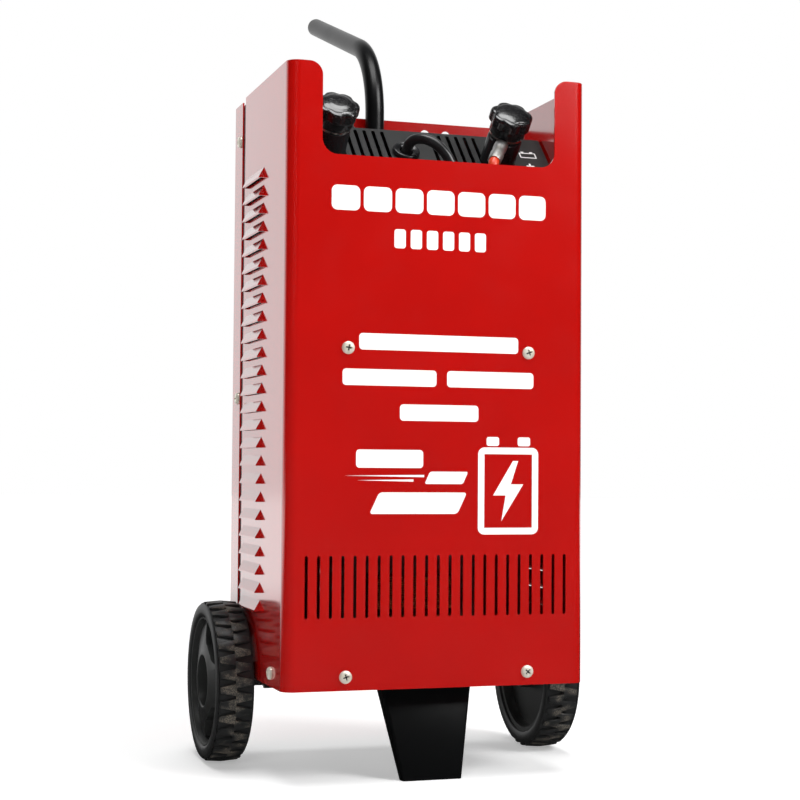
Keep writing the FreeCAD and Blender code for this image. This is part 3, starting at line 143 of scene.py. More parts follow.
class Recipe:
    """One material's node tree, with a Principled shader at its end."""

    def __init__(self, name: str) -> None:
        """Start an empty material.

        Args:
            name: the material's name.
        """
        self.material = bpy.data.materials.new(name)
        self.material.use_nodes = True
        self.tree = self.material.node_tree
        self.tree.nodes.clear()
        self.shader = self.add("ShaderNodeBsdfPrincipled")
        self.output = self.add("ShaderNodeOutputMaterial", None, {"Surface": self.shader.outputs["BSDF"]})

    def add(self, kind: str, settings: Optional[dict] = None,
            inputs: Optional[dict] = None) -> bpy.types.Node:
        """Add a node, set it up, then fill its sockets.

        Args:
            kind: the node's type name.
            settings: attributes set first; "stops" gives a colour ramp's (position, colour) pairs.
            inputs: socket name or number to a signal, a socket or a plain value.

        Returns:
            The node.
        """
        node = self.tree.nodes.new(kind)
        for name, value in (settings or {}).items():
            if name == "stops":
                ramp = node.color_ramp.elements
                while len(ramp) < len(value):
                    ramp.new(1.0)
                for stop, (position, colour) in zip(ramp, value):
                    stop.position = position
                    stop.color = (*colour, 1.0)
            else:
                setattr(node, name, value)
        for name, value in (inputs or {}).items():
            source = value.socket if isinstance(value, Signal) else value
            if isinstance(source, bpy.types.NodeSocket):
                self.tree.links.new(source, node.inputs[name])
            else:
                node.inputs[name].default_value = source
        return node

    def place(self, stretch: tuple = (1.0, 1.0, 1.0)) -> bpy.types.NodeSocket:
        """Object coordinates, stretched along the axes."""
        point = self.add("ShaderNodeTexCoord").outputs["Object"]
        return self.add("ShaderNodeMapping", None, {"Vector": point, "Scale": stretch}).outputs["Vector"]

    def axis(self, index: int) -> Signal:
        """One of the object coordinates, in metres."""
        split = self.add("ShaderNodeSeparateXYZ", None, {"Vector": self.place()})
        return Signal(self, split.outputs[index])

    def noise(self, scale: float, detail: float = 2.0, stretch: tuple = (1.0, 1.0, 1.0)) -> Signal:
        """Soft noise over the object, about 0.5 on average."""
        inputs = {"Vector": self.place(stretch), "Scale": scale, "Detail": detail, "Roughness": 0.55}
        return Signal(self, self.add("ShaderNodeTexNoise", None, inputs).outputs[0])

    def cells(self, scale: float) -> Signal:
        """Distance to the nearest of scattered points."""
        node = self.add("ShaderNodeTexVoronoi", None, {"Vector": self.place(), "Scale": scale})
        return Signal(self, node.outputs["Distance"])

    def blend(self, share: object, first: object, second: object) -> bpy.types.NodeSocket:
        """A colour from first at 0 to second at 1."""
        node = self.add("ShaderNodeMix", {"data_type": "RGBA"},
                        {0: share, 6: self._rgba(first), 7: self._rgba(second)})
        return node.outputs[2]

    @staticmethod
    def _rgba(colour: object) -> object:
        """A colour as a Mix node wants it."""
        return (*colour, 1.0) if isinstance(colour, tuple) and len(colour) == 3 else colour

    def edge_wear(self) -> Signal:
        """1 on convex edges, 0 elsewhere."""
        node = self.add("ShaderNodeNewGeometry")
        return Signal(self, node.outputs["Pointiness"]).held(0.52, 0.60)

    def rough(self, signal: Signal) -> None:
        """Let a signal drive the roughness."""
        self.tree.links.new(signal.socket, self.shader.inputs["Roughness"])

    def colour(self, socket: bpy.types.NodeSocket) -> None:
        """Let a colour drive the base colour."""
        self.tree.links.new(socket, self.shader.inputs["Base Color"])

    def bump(self, height: Signal, depth: float, strength: float = 1.0) -> None:
        """Let a height drive the normal.

        Args:
            height: the height, about 0 to 1.
            depth: the real depth of the relief in metres.
            strength: how much of it shows.
        """
        node = self.add("ShaderNodeBump", None, {"Height": height, "Distance": depth, "Strength": strength})
        self.tree.links.new(node.outputs["Normal"], self.shader.inputs["Normal"])

    def fix(self, **values: object) -> None:
        """Set constants on the shader; underscores stand for spaces."""
        for name, value in values.items():
            self.shader.inputs[name.replace("_", " ")].default_value = value


# ---------------------------------------------------------------- finishes


@dataclass(frozen=True)
class Finish:
    """A finish on one of the record's material slots."""

    name: str
    slot: str
    colour: tuple
    roughness: float = 0.4

    def mix(self, recipe: Recipe) -> None:
        """Build the finish in a recipe; each kind of finish adds its own."""
        recipe.fix(Base_Color=(*self.colour, 1.0), Roughness=self.roughness)

    def material(self) -> bpy.types.Material:
        """The material, made once."""
        found = bpy.data.materials.get(self.name)
        if found is None:
            recipe = Recipe(self.name)
            self.mix(recipe)
            found = recipe.material
        return found


@dataclass(frozen=True)
class PowderCoat(Finish):
    """Baked powder coat: a fine orange peel under a hard gloss, a little duller where it is handled."""

    gloss: float = 0.0
    peel: float = 0.00003
    mirror: float = 1.5

    def mix(self, recipe: Recipe) -> None:
        """Colour drift, peel and gloss."""
        drift = recipe.noise(9.0, 3.0)
        grain = recipe.noise(1400.0, 2.0)
        darker = tuple(c * 0.88 for c in self.colour)
        recipe.colour(recipe.blend((drift * 0.6 + grain * 0.4).held(0.3, 0.7), darker, self.colour))
        smudge = recipe.noise(26.0, 5.0).held(0.45, 0.75)
        recipe.rough(smudge * 0.03 + grain * 0.03 + (self.roughness - 0.02))
        recipe.bump(recipe.noise(520.0, 3.0), self.peel, 0.35)
        recipe.fix(Coat_Weight=self.gloss, Coat_Roughness=0.1, Coat_IOR=self.mirror, IOR=self.mirror)


@dataclass(frozen=True)
class Moulding(Finish):
    """Moulded plastic with a fine spark-eroded grain."""

    grain: float = 1600.0
    depth: float = 0.00004
    speckle: float = 0.0
    mirror: float = 1.48

    def mix(self, recipe: Recipe) -> None:
        """Grain, faint scuffs and bright specks."""
        grain = recipe.noise(self.grain, 3.0)
        scuff = recipe.noise(60.0, 6.0, (1.0, 1.0, 3.0)).held(0.55, 0.8)
        pale = tuple(min(1.0, c * 2.2 + 0.012) for c in self.colour)
        base = recipe.blend(scuff * 0.35 + recipe.edge_wear() * 0.3, self.colour, pale)
        if self.speckle > 0.0:
            specks = recipe.cells(700.0)
            base = recipe.blend((1.0 - specks.held(0.05, 0.3)) * self.speckle, base, (0.32, 0.32, 0.33))
        recipe.colour(base)
        recipe.rough(grain * 0.12 + scuff * 0.1 + (self.roughness - 0.06))
        recipe.bump(grain, self.depth, 0.6)
        recipe.fix(IOR=self.mirror)


@dataclass(frozen=True)
class Tread(Finish):
    """Tyre rubber with dust caught on its raised blocks."""

    dust: tuple = (0.17, 0.145, 0.11)
    inner: float = 0.0725

    def mix(self, recipe: Recipe) -> None:
        """Dark rubber, brown dust in patches on the outer blocks, and a pebbled grain."""
        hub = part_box("left_tyre")
        centre = (hub[0] + hub[1]) / 2
        across = recipe.axis(1) - centre.y
        rise = recipe.axis(2) - centre.z
        radius = (across * across + rise * rise) ** 0.5
        worn = radius.held(self.inner, self.inner + 0.0022)
        patches = recipe.noise(70.0, 5.0).held(0.44, 0.62)
        specks = recipe.noise(900.0, 3.0).held(0.42, 0.62)
        share = worn * patches * (specks * 0.75 + 0.1)
        base = recipe.blend(recipe.noise(130.0, 4.0), self.colour, tuple(c * 1.8 for c in self.colour))
        recipe.colour(recipe.blend(share, base, self.dust))
        recipe.rough(share * 0.35 + recipe.noise(240.0, 3.0) * 0.15 + (self.roughness - 0.08))
        recipe.bump(recipe.noise(1500.0, 3.0) * 0.6 + recipe.noise(300.0, 4.0) * 0.4, 0.00012, 0.5)


@dataclass(frozen=True)
class Metal(Finish):
    """Bare or plated metal with brushed lines and dull patches."""

    stretch: tuple = (1.0, 1.0, 18.0)
    lines: float = 700.0
    tint: tuple = (1.0, 0.95, 0.84)
    metallic: float = 1.0

    def mix(self, recipe: Recipe) -> None:
        """Brush lines and tarnish in patches."""
        brush = recipe.noise(self.lines, 3.0, self.stretch)
        tarnish = recipe.noise(90.0, 5.0).held(0.42, 0.75)
        warm = tuple(c * t * 0.72 for c, t in zip(self.colour, self.tint))
        recipe.colour(recipe.blend(tarnish, self.colour, warm))
        recipe.rough(brush * 0.18 + tarnish * 0.16 + (self.roughness - 0.08))
        recipe.bump(brush, 0.00002, 0.4)
        recipe.fix(Metallic=self.metallic)


@dataclass(frozen=True)
class Sheath(Finish):
    """A cable's rubber or PVC sheath: smooth, with faint draw marks and scuffs."""

    def mix(self, recipe: Recipe) -> None:
        """A soft sheen broken by scuffs."""
        scuff = recipe.noise(110.0, 6.0).held(0.5, 0.78)
        pale = tuple(min(1.0, c * 1.25 + 0.015) for c in self.colour)
        recipe.colour(recipe.blend(scuff * 0.6, self.colour, pale))
        recipe.rough(scuff * 0.18 + (self.roughness - 0.05))
        recipe.bump(recipe.noise(420.0, 3.0), 0.00005, 0.4)


@dataclass(frozen=True)
class Print(Finish):
    """Screen-printed ink with a faint mottle."""

    def mix(self, recipe: Recipe) -> None:
        """Nearly flat ink with a faint mottle."""
        mottle = recipe.noise(300.0, 4.0).held(0.35, 0.7)
        recipe.colour(recipe.blend(mottle, tuple(c * 0.94 for c in self.colour), self.colour))
        recipe.rough(mottle * 0.1 + (self.roughness - 0.05))
        recipe.bump(recipe.noise(900.0, 2.0), 0.00002, 0.3)


@dataclass(frozen=True)
class Winding(Finish):
    """Enamelled wire laid side by side, varnished."""

    pitch: float = 0.0022

    def mix(self, recipe: Recipe) -> None:
        """Round wires as a wave along Z, with painted shade in the gaps between them."""
        turns = (recipe.axis(2) * (math.tau / self.pitch)).wave() * 0.5 + 0.5
        varnish = recipe.noise(50.0, 4.0).held(0.4, 0.7)
        # Painted shade: the colour is darkened in the troughs between turns.
        painted_gap_shade = tuple(c * 0.3 for c in self.colour)
        bright = recipe.blend(varnish, self.colour, tuple(c * 0.7 for c in self.colour))
        recipe.colour(recipe.blend(turns, painted_gap_shade, bright))
        recipe.rough(varnish * 0.2 + (self.roughness - 0.08))
        recipe.bump(turns, 0.0006, 0.8)
        recipe.fix(Metallic=0.55)


@dataclass(frozen=True)
class Lamination(Finish):
    """Stacked core plates seen on edge."""

    plate: float = 0.001

    def mix(self, recipe: Recipe) -> None:
        """Fine dark lines across the stack and a spotted varnish."""
        lines = ((recipe.axis(1) * (math.tau / self.plate)).wave() * 0.5 + 0.5).held(0.05, 0.5)
        spots = recipe.noise(120.0, 5.0).held(0.5, 0.7)
        base = recipe.blend(lines, tuple(c * 0.25 for c in self.colour), self.colour)
        recipe.colour(recipe.blend(spots * 0.4, base, (0.12, 0.07, 0.045)))
        recipe.rough(spots * 0.2 + (self.roughness - 0.08))
        recipe.bump(lines, 0.0002, 0.6)
        recipe.fix(Metallic=0.7)


@dataclass(frozen=True)
class Pane(Finish):
    """A clear moulded window."""

    def mix(self, recipe: Recipe) -> None:
        """Clear plastic with wiping marks."""
        recipe.rough(recipe.noise(80.0, 4.0).held(0.5, 0.8) * 0.08 + self.roughness)
        recipe.bump(recipe.noise(200.0, 2.0), 0.00001, 0.2)
        recipe.fix(Base_Color=(*self.colour, 1.0), Transmission_Weight=1.0, IOR=1.49)


RED_PAINT = PowderCoat("red_powder_coat", "red_paint", (0.50, 0.0030, 0.0016), 0.14, 1.0, 0.00002, 1.95)
PANEL_PAINT = PowderCoat("black_panel_coat", "black_panel", (0.016, 0.0165, 0.0165), 0.34, 0.0, 0.00006, 1.45)
GLOSS_BLACK = PowderCoat("black_satin_coat", "black_paint", (0.0035, 0.0037, 0.004), 0.3, 0.0, 0.00003, 1.36)
GALVANISED = Metal("galvanised_sheet", "galvanised_steel", (0.42, 0.43, 0.44), 0.42, (1.0, 1.0, 1.0), 60.0)
BRIGHT = Metal("nickel_plate", "bright_steel", (0.74, 0.71, 0.66), 0.2, (1.0, 1.0, 1.0), 900.0)
SCREW_PLATE = Metal("yellowed_zinc", "bright_steel", (0.92, 0.87, 0.76), 0.32, (1.0, 1.0, 1.0), 900.0,
                    (1.0, 0.95, 0.84), 0.45)
RUBBER = Tread("dusty_rubber", "tyre_rubber", (0.013, 0.0135, 0.0135), 0.44)
WHEEL = Moulding("wheel_moulding", "wheel_plastic", (0.024, 0.025, 0.024), 0.42, 900.0, 0.00005)
KNOB = Moulding("speckled_knob", "knob_plastic", (0.006, 0.006, 0.0065), 0.2, 420.0, 0.0001, 0.3, 1.75)
CONTROL = Moulding("control_moulding", "control_plastic", (0.011, 0.011, 0.012), 0.36)
POST = Moulding("post_moulding", "control_plastic", (0.012, 0.012, 0.013), 0.2)
DIAL = Print("dial_print", "dial_white", (0.82, 0.82, 0.78), 0.5)
POINTER = Print("pointer_paint", "pointer_red", (0.55, 0.02, 0.015), 0.4)
GLASS = Pane("meter_pane", "meter_glass", (0.95, 0.97, 0.98), 0.03)
CORE = Lamination("core_plates", "core_steel", (0.2, 0.2, 0.21), 0.5)
COPPER = Winding("enamelled_wire", "winding_copper", (0.62, 0.2, 0.07), 0.34)
ALUMINIUM = Metal("extruded_aluminium", "heatsink_aluminium", (0.66, 0.67, 0.68), 0.34)
DIODE = Metal("diode_can", "diode_metal", (0.6, 0.6, 0.57), 0.28)
TIN = Metal("tinned_copper", "lug_tin", (0.42, 0.42, 0.42), 0.42, (1.0, 1.0, 1.0), 500.0)
ZINC = Metal("zinc_plate", "clamp_steel", (0.6, 0.6, 0.6), 0.3)
BLACK_CABLE = Sheath("black_sheath", "black_cable", (0.012, 0.012, 0.013), 0.34)
RED_CABLE = Sheath("red_sheath", "red_cable", (0.62, 0.045, 0.012), 0.36)
BLACK_GRIP = Moulding("black_grip", "black_cable", (0.012, 0.012, 0.013), 0.4)
RED_GRIP = Moulding("red_grip", "red_cable", (0.5, 0.012, 0.008), 0.38)
WHITE_INK = Print("white_ink", "dial_white", (0.93, 0.93, 0.93), 0.42)
DARK_INK = Print("dark_ink", "control_plastic", (0.02, 0.02, 0.02), 0.5)


# ---------------------------------------------------------------- shaping tools


@dataclass(frozen=True)
class CaseFrame:
    """Where the case stands in the frame: its front bottom edge gives Y = 0 and Z = 0."""

    low: Vector = field(default_factory=lambda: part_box("front_shell")[0])

    def matrix(self) -> Matrix:
        """Case millimetres to frame metres."""
        return Matrix.Translation((0.0, self.low.y, self.low.z)) @ Matrix.Scale(0.001, 4)

    def point(self, x: float, y: float, z: float) -> Vector:
        """A case point in frame metres."""
        return self.matrix() @ Vector((x, y, z))


CASE = CaseFrame()


def aim(origin: Iterable[float], axis: Vector, across: Optional[Vector] = None) -> Matrix:
    """A matrix that puts local Z along an axis at a point.

    Args:
        origin: where the local origin goes, in case millimetres.
        axis: the direction of local Z.
        across: a direction for local X, made square to the axis.

    Returns:
        The placing matrix.
    """
    up = Vector(axis).normalized()
    hint = Vector(across) if across is not None else (X_AXIS if abs(up.x) < 0.9 else Y_AXIS)
    side = (hint - up * hint.dot(up)).normalized()
    turn = Matrix((side, up.cross(side), up)).transposed().to_4x4()
    return Matrix.Translation(Vector(origin)) @ turn


class Stock:
    """A bmesh under work, in case millimetres."""

    def __init__(self) -> None:
        """Start with nothing."""
        self.bm = bmesh.new()

    def block(self, low: Iterable[float], high: Iterable[float], place: Optional[Matrix] = None,
              round_by: float = 0.0, segments: int = 2) -> list:
        """Add a block between two corners, its edges rounded.

        Args:
            low: the lowest corner.
            high: the highest corner.
            place: a matrix for the finished block.
            round_by: the edges' rounding.
            segments: faces across the rounding.

        Returns:
            The block's vertices.
        """
        a, b = Vector(low), Vector(high)
        size = Matrix.Diagonal((b.x - a.x, b.y - a.y, b.z - a.z, 1.0))
        place = place or Matrix.Identity(4)
        made = bmesh.ops.create_cube(self.bm, size=1.0, matrix=place @ Matrix.Translation((a + b) / 2) @ size)
        verts = made["verts"]
        if round_by > 0.0:
            edges = list({e for v in verts for e in v.link_edges})
            done = self.round(edges, round_by, segments)
            verts = list({v for f in done for v in f.verts} | {v for v in verts if v.is_valid})
        return verts

    def round(self, edges: list, width: float, segments: int = 2) -> list:
        """Bevel some edges and return the faces made."""
        made = bmesh.ops.bevel(self.bm, geom=edges, offset=width, offset_type="OFFSET", affect="EDGES",
                               segments=segments, profile=0.5, material=-1, clamp_overlap=True)
        return made["faces"]

    def round_sharp(self, width: float, segments: int = 2, over: float = 30.0) -> None:
        """Bevel every edge that turns by more than an angle in degrees."""
        limit = math.radians(over)
        edges = [e for e in self.bm.edges if len(e.link_faces) == 2 and e.calc_face_angle(0.0) > limit]
        self.round(edges, width, segments)

    def turned(self, profile: Sequence[tuple], place: Matrix, steps: int = 64) -> list:
        """Spin an open or closed outline of (radius, height) pairs about local Z.

        Args:
            profile: the outline; a closed ring repeats its first point.
            place: puts the local axis in the case.
            steps: faces round the turn.

        Returns:
            The new vertices.
        """
        before = set(self.bm.verts)
        closed = profile[0] == profile[-1]
        points = profile[:-1] if closed else profile
        line = [self.bm.verts.new((r, 0.0, h)) for r, h in points]
        pairs = list(zip(line, line[1:])) + ([(line[-1], line[0])] if closed else [])
        edges = [self.bm.edges.new(pair) for pair in pairs]
        bmesh.ops.spin(self.bm, geom=line + edges, cent=(0, 0, 0), axis=(0, 0, 1), dvec=(0, 0, 0),
                       angle=math.tau, steps=steps, use_merge=True, use_normal_flip=False,
                       use_duplicate=False)
        made = [v for v in self.bm.verts if v not in before]
        bmesh.ops.remove_doubles(self.bm, verts=made, dist=0.0005)
        made = [v for v in self.bm.verts if v not in before]
        bmesh.ops.transform(self.bm, matrix=place, verts=made)
        return made

    def plate(self, outline: Sequence[tuple], thickness: float, place: Matrix, round_by: float = 0.0,
              segments: int = 2) -> list:
        """Push a flat outline along local Z.

        Args:
            outline: (x, y) corners in order.
            thickness: how far local Z goes.
            place: puts the local axes in the case.
            round_by: rounding of every sharp edge.
            segments: faces across the rounding.

        Returns:
            The new vertices.
        """
        before = set(self.bm.verts)
        corners = [self.bm.verts.new((x, y, 0.0)) for x, y in outline]
        face = self.bm.faces.new(corners)
        made = bmesh.ops.extrude_face_region(self.bm, geom=[face])
        raised = [g for g in made["geom"] if isinstance(g, bmesh.types.BMVert)]
        bmesh.ops.translate(self.bm, vec=(0.0, 0.0, thickness), verts=raised)
        if round_by > 0.0:
            edges = {e for v in self.bm.verts if v not in before for e in v.link_edges}
            sharp = [e for e in edges if e.calc_face_angle(0.0) > 0.5]
            self.round(sharp, round_by, segments)
        made = [v for v in self.bm.verts if v not in before]
        bmesh.ops.transform(self.bm, matrix=place, verts=made)
        return made

    def grown(self, count: int, shape: Callable[[float, float], float], layers: Sequence[tuple],
              place: Matrix) -> list:
        """Raise a shaped disc layer by layer.

        Args:
            count: corners round the disc.
            shape: radius from the angle and the layer's depth of scallop.
            layers: (height, inset, scallop) of each layer, the first at the foot.
            place: puts local Z in the case.

        Returns:
            The new vertices.
        """
        before = set(self.bm.verts)
        made = bmesh.ops.create_circle(self.bm, cap_ends=True, radius=1.0, segments=count)
        ring = made["verts"]
        angles = [math.atan2(v.co.y, v.co.x) for v in ring]
        face = next(iter({f for v in ring for f in v.link_faces}))
        for index, (height, inset, scallop) in enumerate(layers):
            if index:
                grown = bmesh.ops.extrude_face_region(self.bm, geom=[face])["geom"]
                face = next(g for g in grown if isinstance(g, bmesh.types.BMFace))
                ring = sorted(face.verts, key=lambda v: math.atan2(v.co.y, v.co.x))
                angles = [math.atan2(v.co.y, v.co.x) for v in ring]
            for vert, angle in zip(ring, angles):
                radius = shape(angle, scallop) - inset
                vert.co = Vector((radius * math.cos(angle), radius * math.sin(angle), height))
        new = [v for v in self.bm.verts if v not in before]
        bmesh.ops.recalc_face_normals(self.bm, faces=list({f for v in new for f in v.link_faces}))
        bmesh.ops.transform(self.bm, matrix=place, verts=new)
        return new

    def copies(self, verts: list, centre: Vector, axis: Vector, count: int) -> None:
        """Repeat loose pieces evenly round an axis."""
        geom = (list(verts) + list({e for v in verts for e in v.link_edges})
                + list({f for v in verts for f in v.link_faces}))
        bmesh.ops.spin(self.bm, geom=geom, cent=centre, axis=axis, dvec=(0, 0, 0),
                       angle=math.tau * (count - 1) / count, steps=count - 1, use_merge=False,
                       use_normal_flip=False, use_duplicate=True)

    def adopt(self, node: str) -> None:
        """Take a merged copy of a CAD node, turned back to case millimetres."""
        self.bm.from_mesh(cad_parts[node].data)
        bmesh.ops.transform(self.bm, matrix=CASE.matrix().inverted(), verts=self.bm.verts[:])
        bmesh.ops.remove_doubles(self.bm, verts=self.bm.verts[:], dist=0.002)
        bmesh.ops.dissolve_limit(self.bm, angle_limit=math.radians(0.6), verts=self.bm.verts[:],
                                 edges=self.bm.edges[:])


@dataclass
class Workshop:
    """Turns finished stock into pieces that ride on the frame."""

    made: list = field(default_factory=list)

    def piece(self, name: str, stock: Stock, finish: Finish, body: str = "case", replaces: Sequence[str] = (),
              sharp: float = 34.0, outwards: bool = True) -> bpy.types.Object:
        """Finish one mesh piece.

        Args:
            name: the piece's name.
            stock: the bmesh, in case millimetres.
            finish: what it is made of.
            body: the CAD body it moves with.
            replaces: CAD nodes it stands for.
            sharp: the angle over which an edge stays hard, in degrees.
            outwards: recalculate the normals first.

        Returns:
            The piece.
        """
        bm = stock.bm
        if outwards:
            bmesh.ops.recalc_face_normals(bm, faces=bm.faces[:])
        bmesh.ops.transform(bm, matrix=CASE.matrix(), verts=bm.verts[:])
        mesh = bpy.data.meshes.new(name)
        bm.to_mesh(mesh)
        bm.free()
        return self.adopt_mesh(name, mesh, finish, body, replaces, sharp)

    def adopt_mesh(self, name: str, mesh: bpy.types.Mesh, finish: Finish, body: str = "case",
                   replaces: Sequence[str] = (), sharp: float = 34.0) -> bpy.types.Object:
        """Make a piece from a mesh that is already in frame metres.

        Args:
            name: the piece's name.
            mesh: its mesh.
            finish: what it is made of.
            body: the CAD body it moves with.
            replaces: CAD nodes it stands for.
            sharp: the angle over which an edge stays hard, in degrees.

        Returns:
            The piece.
        """
        mesh.polygons.foreach_set("use_smooth", [True] * len(mesh.polygons))
        mesh.set_sharp_from_angle(angle=math.radians(sharp))
        obj = bpy.data.objects.new(name, mesh)
        bpy.context.scene.collection.objects.link(obj)
        self.dress(obj, finish)
        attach(obj, body)
        if replaces:
            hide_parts(*replaces)
        self.made.append(obj)
        LOG.info("%s: %d faces on %s", name, len(mesh.polygons), body)
        return obj

    def dress(self, obj: bpy.types.Object, finish: Finish) -> None:
        """Give an object a finish."""
        obj.data.materials.clear()
        obj.data.materials.append(finish.material())

    def keep(self, finish: Finish, *nodes: str) -> None:
        """Give CAD nodes that stay a finish."""
        for node in nodes:
            self.dress(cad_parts[node], finish)
            LOG.info("%s keeps its CAD shape in %s", node, finish.name)


SHOP = Workshop()


# ---------------------------------------------------------------- case


@dataclass(frozen=True)
class Slope:
    """The sloping part of the control panel."""

    foot: Vector = Vector((0.0, 60.0, 468.69))
    angle: float = math.radians(45.5)
    deck: float = 515.5

    @property
    def up(self) -> Vector:
        """Along the slope, upwards."""
        return Vector((0.0, math.cos(self.angle), math.sin(self.angle)))

    @property
    def normal(self) -> Vector:
        """Out of the slope."""
        return Vector((0.0, -math.sin(self.angle), math.cos(self.angle)))

    def place(self, x: float, along: float, height: float = 0.0) -> Matrix:
        """Local X across, local Y up the slope, local Z out of it."""
        origin = self.foot + self.up * along + self.normal * height + X_AXIS * x
        return aim(origin, self.normal, X_AXIS)


SLOPE = Slope()


@dataclass
class Sheetwork:
    """The folded sheets, which keep their CAD shape."""

    painted: tuple = ("front_shell", "rear_cover")
    plated: tuple = ("base_tray", "left_upright", "right_upright", "cable_pocket", "transformer_rails",
                     "axle_saddles")
    bright: tuple = ("terminal_studs", "stud_nuts", "left_pressure_washer", "right_pressure_washer", "axle",
                     "axle_caps", "clamp_pins", "clamp_springs")

    def dress(self) -> None:
        """Paint and plate the sheets and small hardware."""
        SHOP.keep(RED_PAINT, *self.painted)
        SHOP.keep(GALVANISED, *self.plated)
        SHOP.keep(BRIGHT, *self.bright)
        SHOP.keep(PANEL_PAINT, "control_panel")
        SHOP.keep(GLOSS_BLACK, "handle_clamps")
        SHOP.keep(CONTROL, "gland_nut", "selector_switch", "axle_spacers", "mains_gland")
        SHOP.keep(CORE, "transformer_core")
        SHOP.keep(COPPER, "primary_winding", "secondary_winding")
        SHOP.keep(ALUMINIUM, "rectifier_heatsink")
        SHOP.keep(DIODE, "rectifier_diodes")
        SHOP.keep(GLASS, "ammeter_window")


@dataclass
class Screws:
    """Pan-head screws with a cross recess on the case."""

    head_radius: float = 5.7
    head_height: float = 3.4
    recess: float = 1.7
    span: float = 7.4
    half_width: float = 141.0
    front: tuple = ((-85.0, 12.0), (85.0, 12.0), (-85.0, 299.0), (85.0, 299.0))
    sides: tuple = ((43.5, 12.0), (187.0, 28.0), (187.0, 260.0), (187.0, 510.0))

    def places(self) -> list:
        """Where each screw sits and which way it points."""
        out = [(Vector((x, 0.0, z)), FRONT) for x, z in self.front]
        for y, z in self.sides:
            for side in Side:
                out.append((Vector((side.value * self.half_width, y, z)), X_AXIS * side.value))
        return out

    def cross(self, scale: float = 1.0) -> list:
        """The outline of the recess."""
        a, b = self.span / 2 * scale, self.recess / 2 * scale
        outline = []
        for quarter in range(4):
            turn = Matrix.Rotation(quarter * math.pi / 2, 2)
            outline += [tuple(turn @ Vector(point)) for point in ((a, -b), (a, b), (b, b))]
        return outline

    def head(self) -> bpy.types.Mesh:
        """One head with its recess cut, round local Z."""
        r, h = self.head_radius, self.head_height
        body = Stock()
        dome = [(0.0, h), (r * 0.35, h - 0.03), (r * 0.62, h - 0.2), (r * 0.8, h - 0.62),
                (r * 0.93, h - 1.35),
                (r, h - 2.3), (r * 1.0, 0.12), (r * 0.97, 0.0), (2.45, 0.0), (2.45, -8.0), (0.0, -8.4)]
        body.turned(dome, Matrix.Identity(4), 40)
        cutter = Stock()
        verts = cutter.plate(self.cross(), 3.2, Matrix.Translation((0.0, 0.0, h - 2.2)))
        for vert in verts:
            if vert.co.z < h - 1.0:
                vert.co.x *= 0.6
                vert.co.y *= 0.6
        return carve(body, cutter, "screw_head")

    def build(self) -> None:
        """Set every screw, each turned a little differently."""
        head = self.head()
        stock, recess_shade_plate = Stock(), Stock()
        for index, (seat, outward) in enumerate(self.places()):
            before = set(stock.bm.verts)
            stock.bm.from_mesh(head)
            fresh = [v for v in stock.bm.verts if v not in before]
            turn = Matrix.Rotation(math.radians(17.0 + 31.0 * index), 4, "Z")
            bmesh.ops.transform(stock.bm, matrix=aim(seat, outward) @ turn, verts=fresh)
            # A thin dark cross plate just above each recess floor: painted shade in the recess.
            floor = Matrix.Translation((0.0, 0.0, self.head_height - 2.15))
            recess_shade_plate.plate(self.cross(0.66), 0.8, aim(seat, outward) @ turn @ floor)
        SHOP.piece("screw_recess_grime", recess_shade_plate, DARK_INK)
        SHOP.piece("case_screw_set", stock, SCREW_PLATE, replaces=("case_screws",), outwards=False)
        SHOP.keep(BRIGHT, "chassis_screws")


def carve(body: Stock, cutter: Stock, name: str) -> bpy.types.Mesh:
    """Cut one shape out of another.

    Args:
        body: what is cut.
        cutter: what is taken away.
        name: the new mesh's name.

    Returns:
        The mesh that is left, in the stocks' own units.
    """
    objects = []
    for index, stock in enumerate((body, cutter)):
        bmesh.ops.recalc_face_normals(stock.bm, faces=stock.bm.faces[:])
        mesh = bpy.data.meshes.new(f"{name}_{index}")
        stock.bm.to_mesh(mesh)
        stock.bm.free()
        obj = bpy.data.objects.new(mesh.name, mesh)
        bpy.context.scene.collection.objects.link(obj)
        objects.append(obj)
    cut = objects[0].modifiers.new("cut", "BOOLEAN")
    cut.operation = "DIFFERENCE"
    cut.solver = "EXACT"
    cut.object = objects[1]
    graph = bpy.context.evaluated_depsgraph_get()
    made = bpy.data.meshes.new_from_object(objects[0].evaluated_get(graph))
    for obj in objects:
        bpy.data.objects.remove(obj)
    return made


# ---------------------------------------------------------------- printing


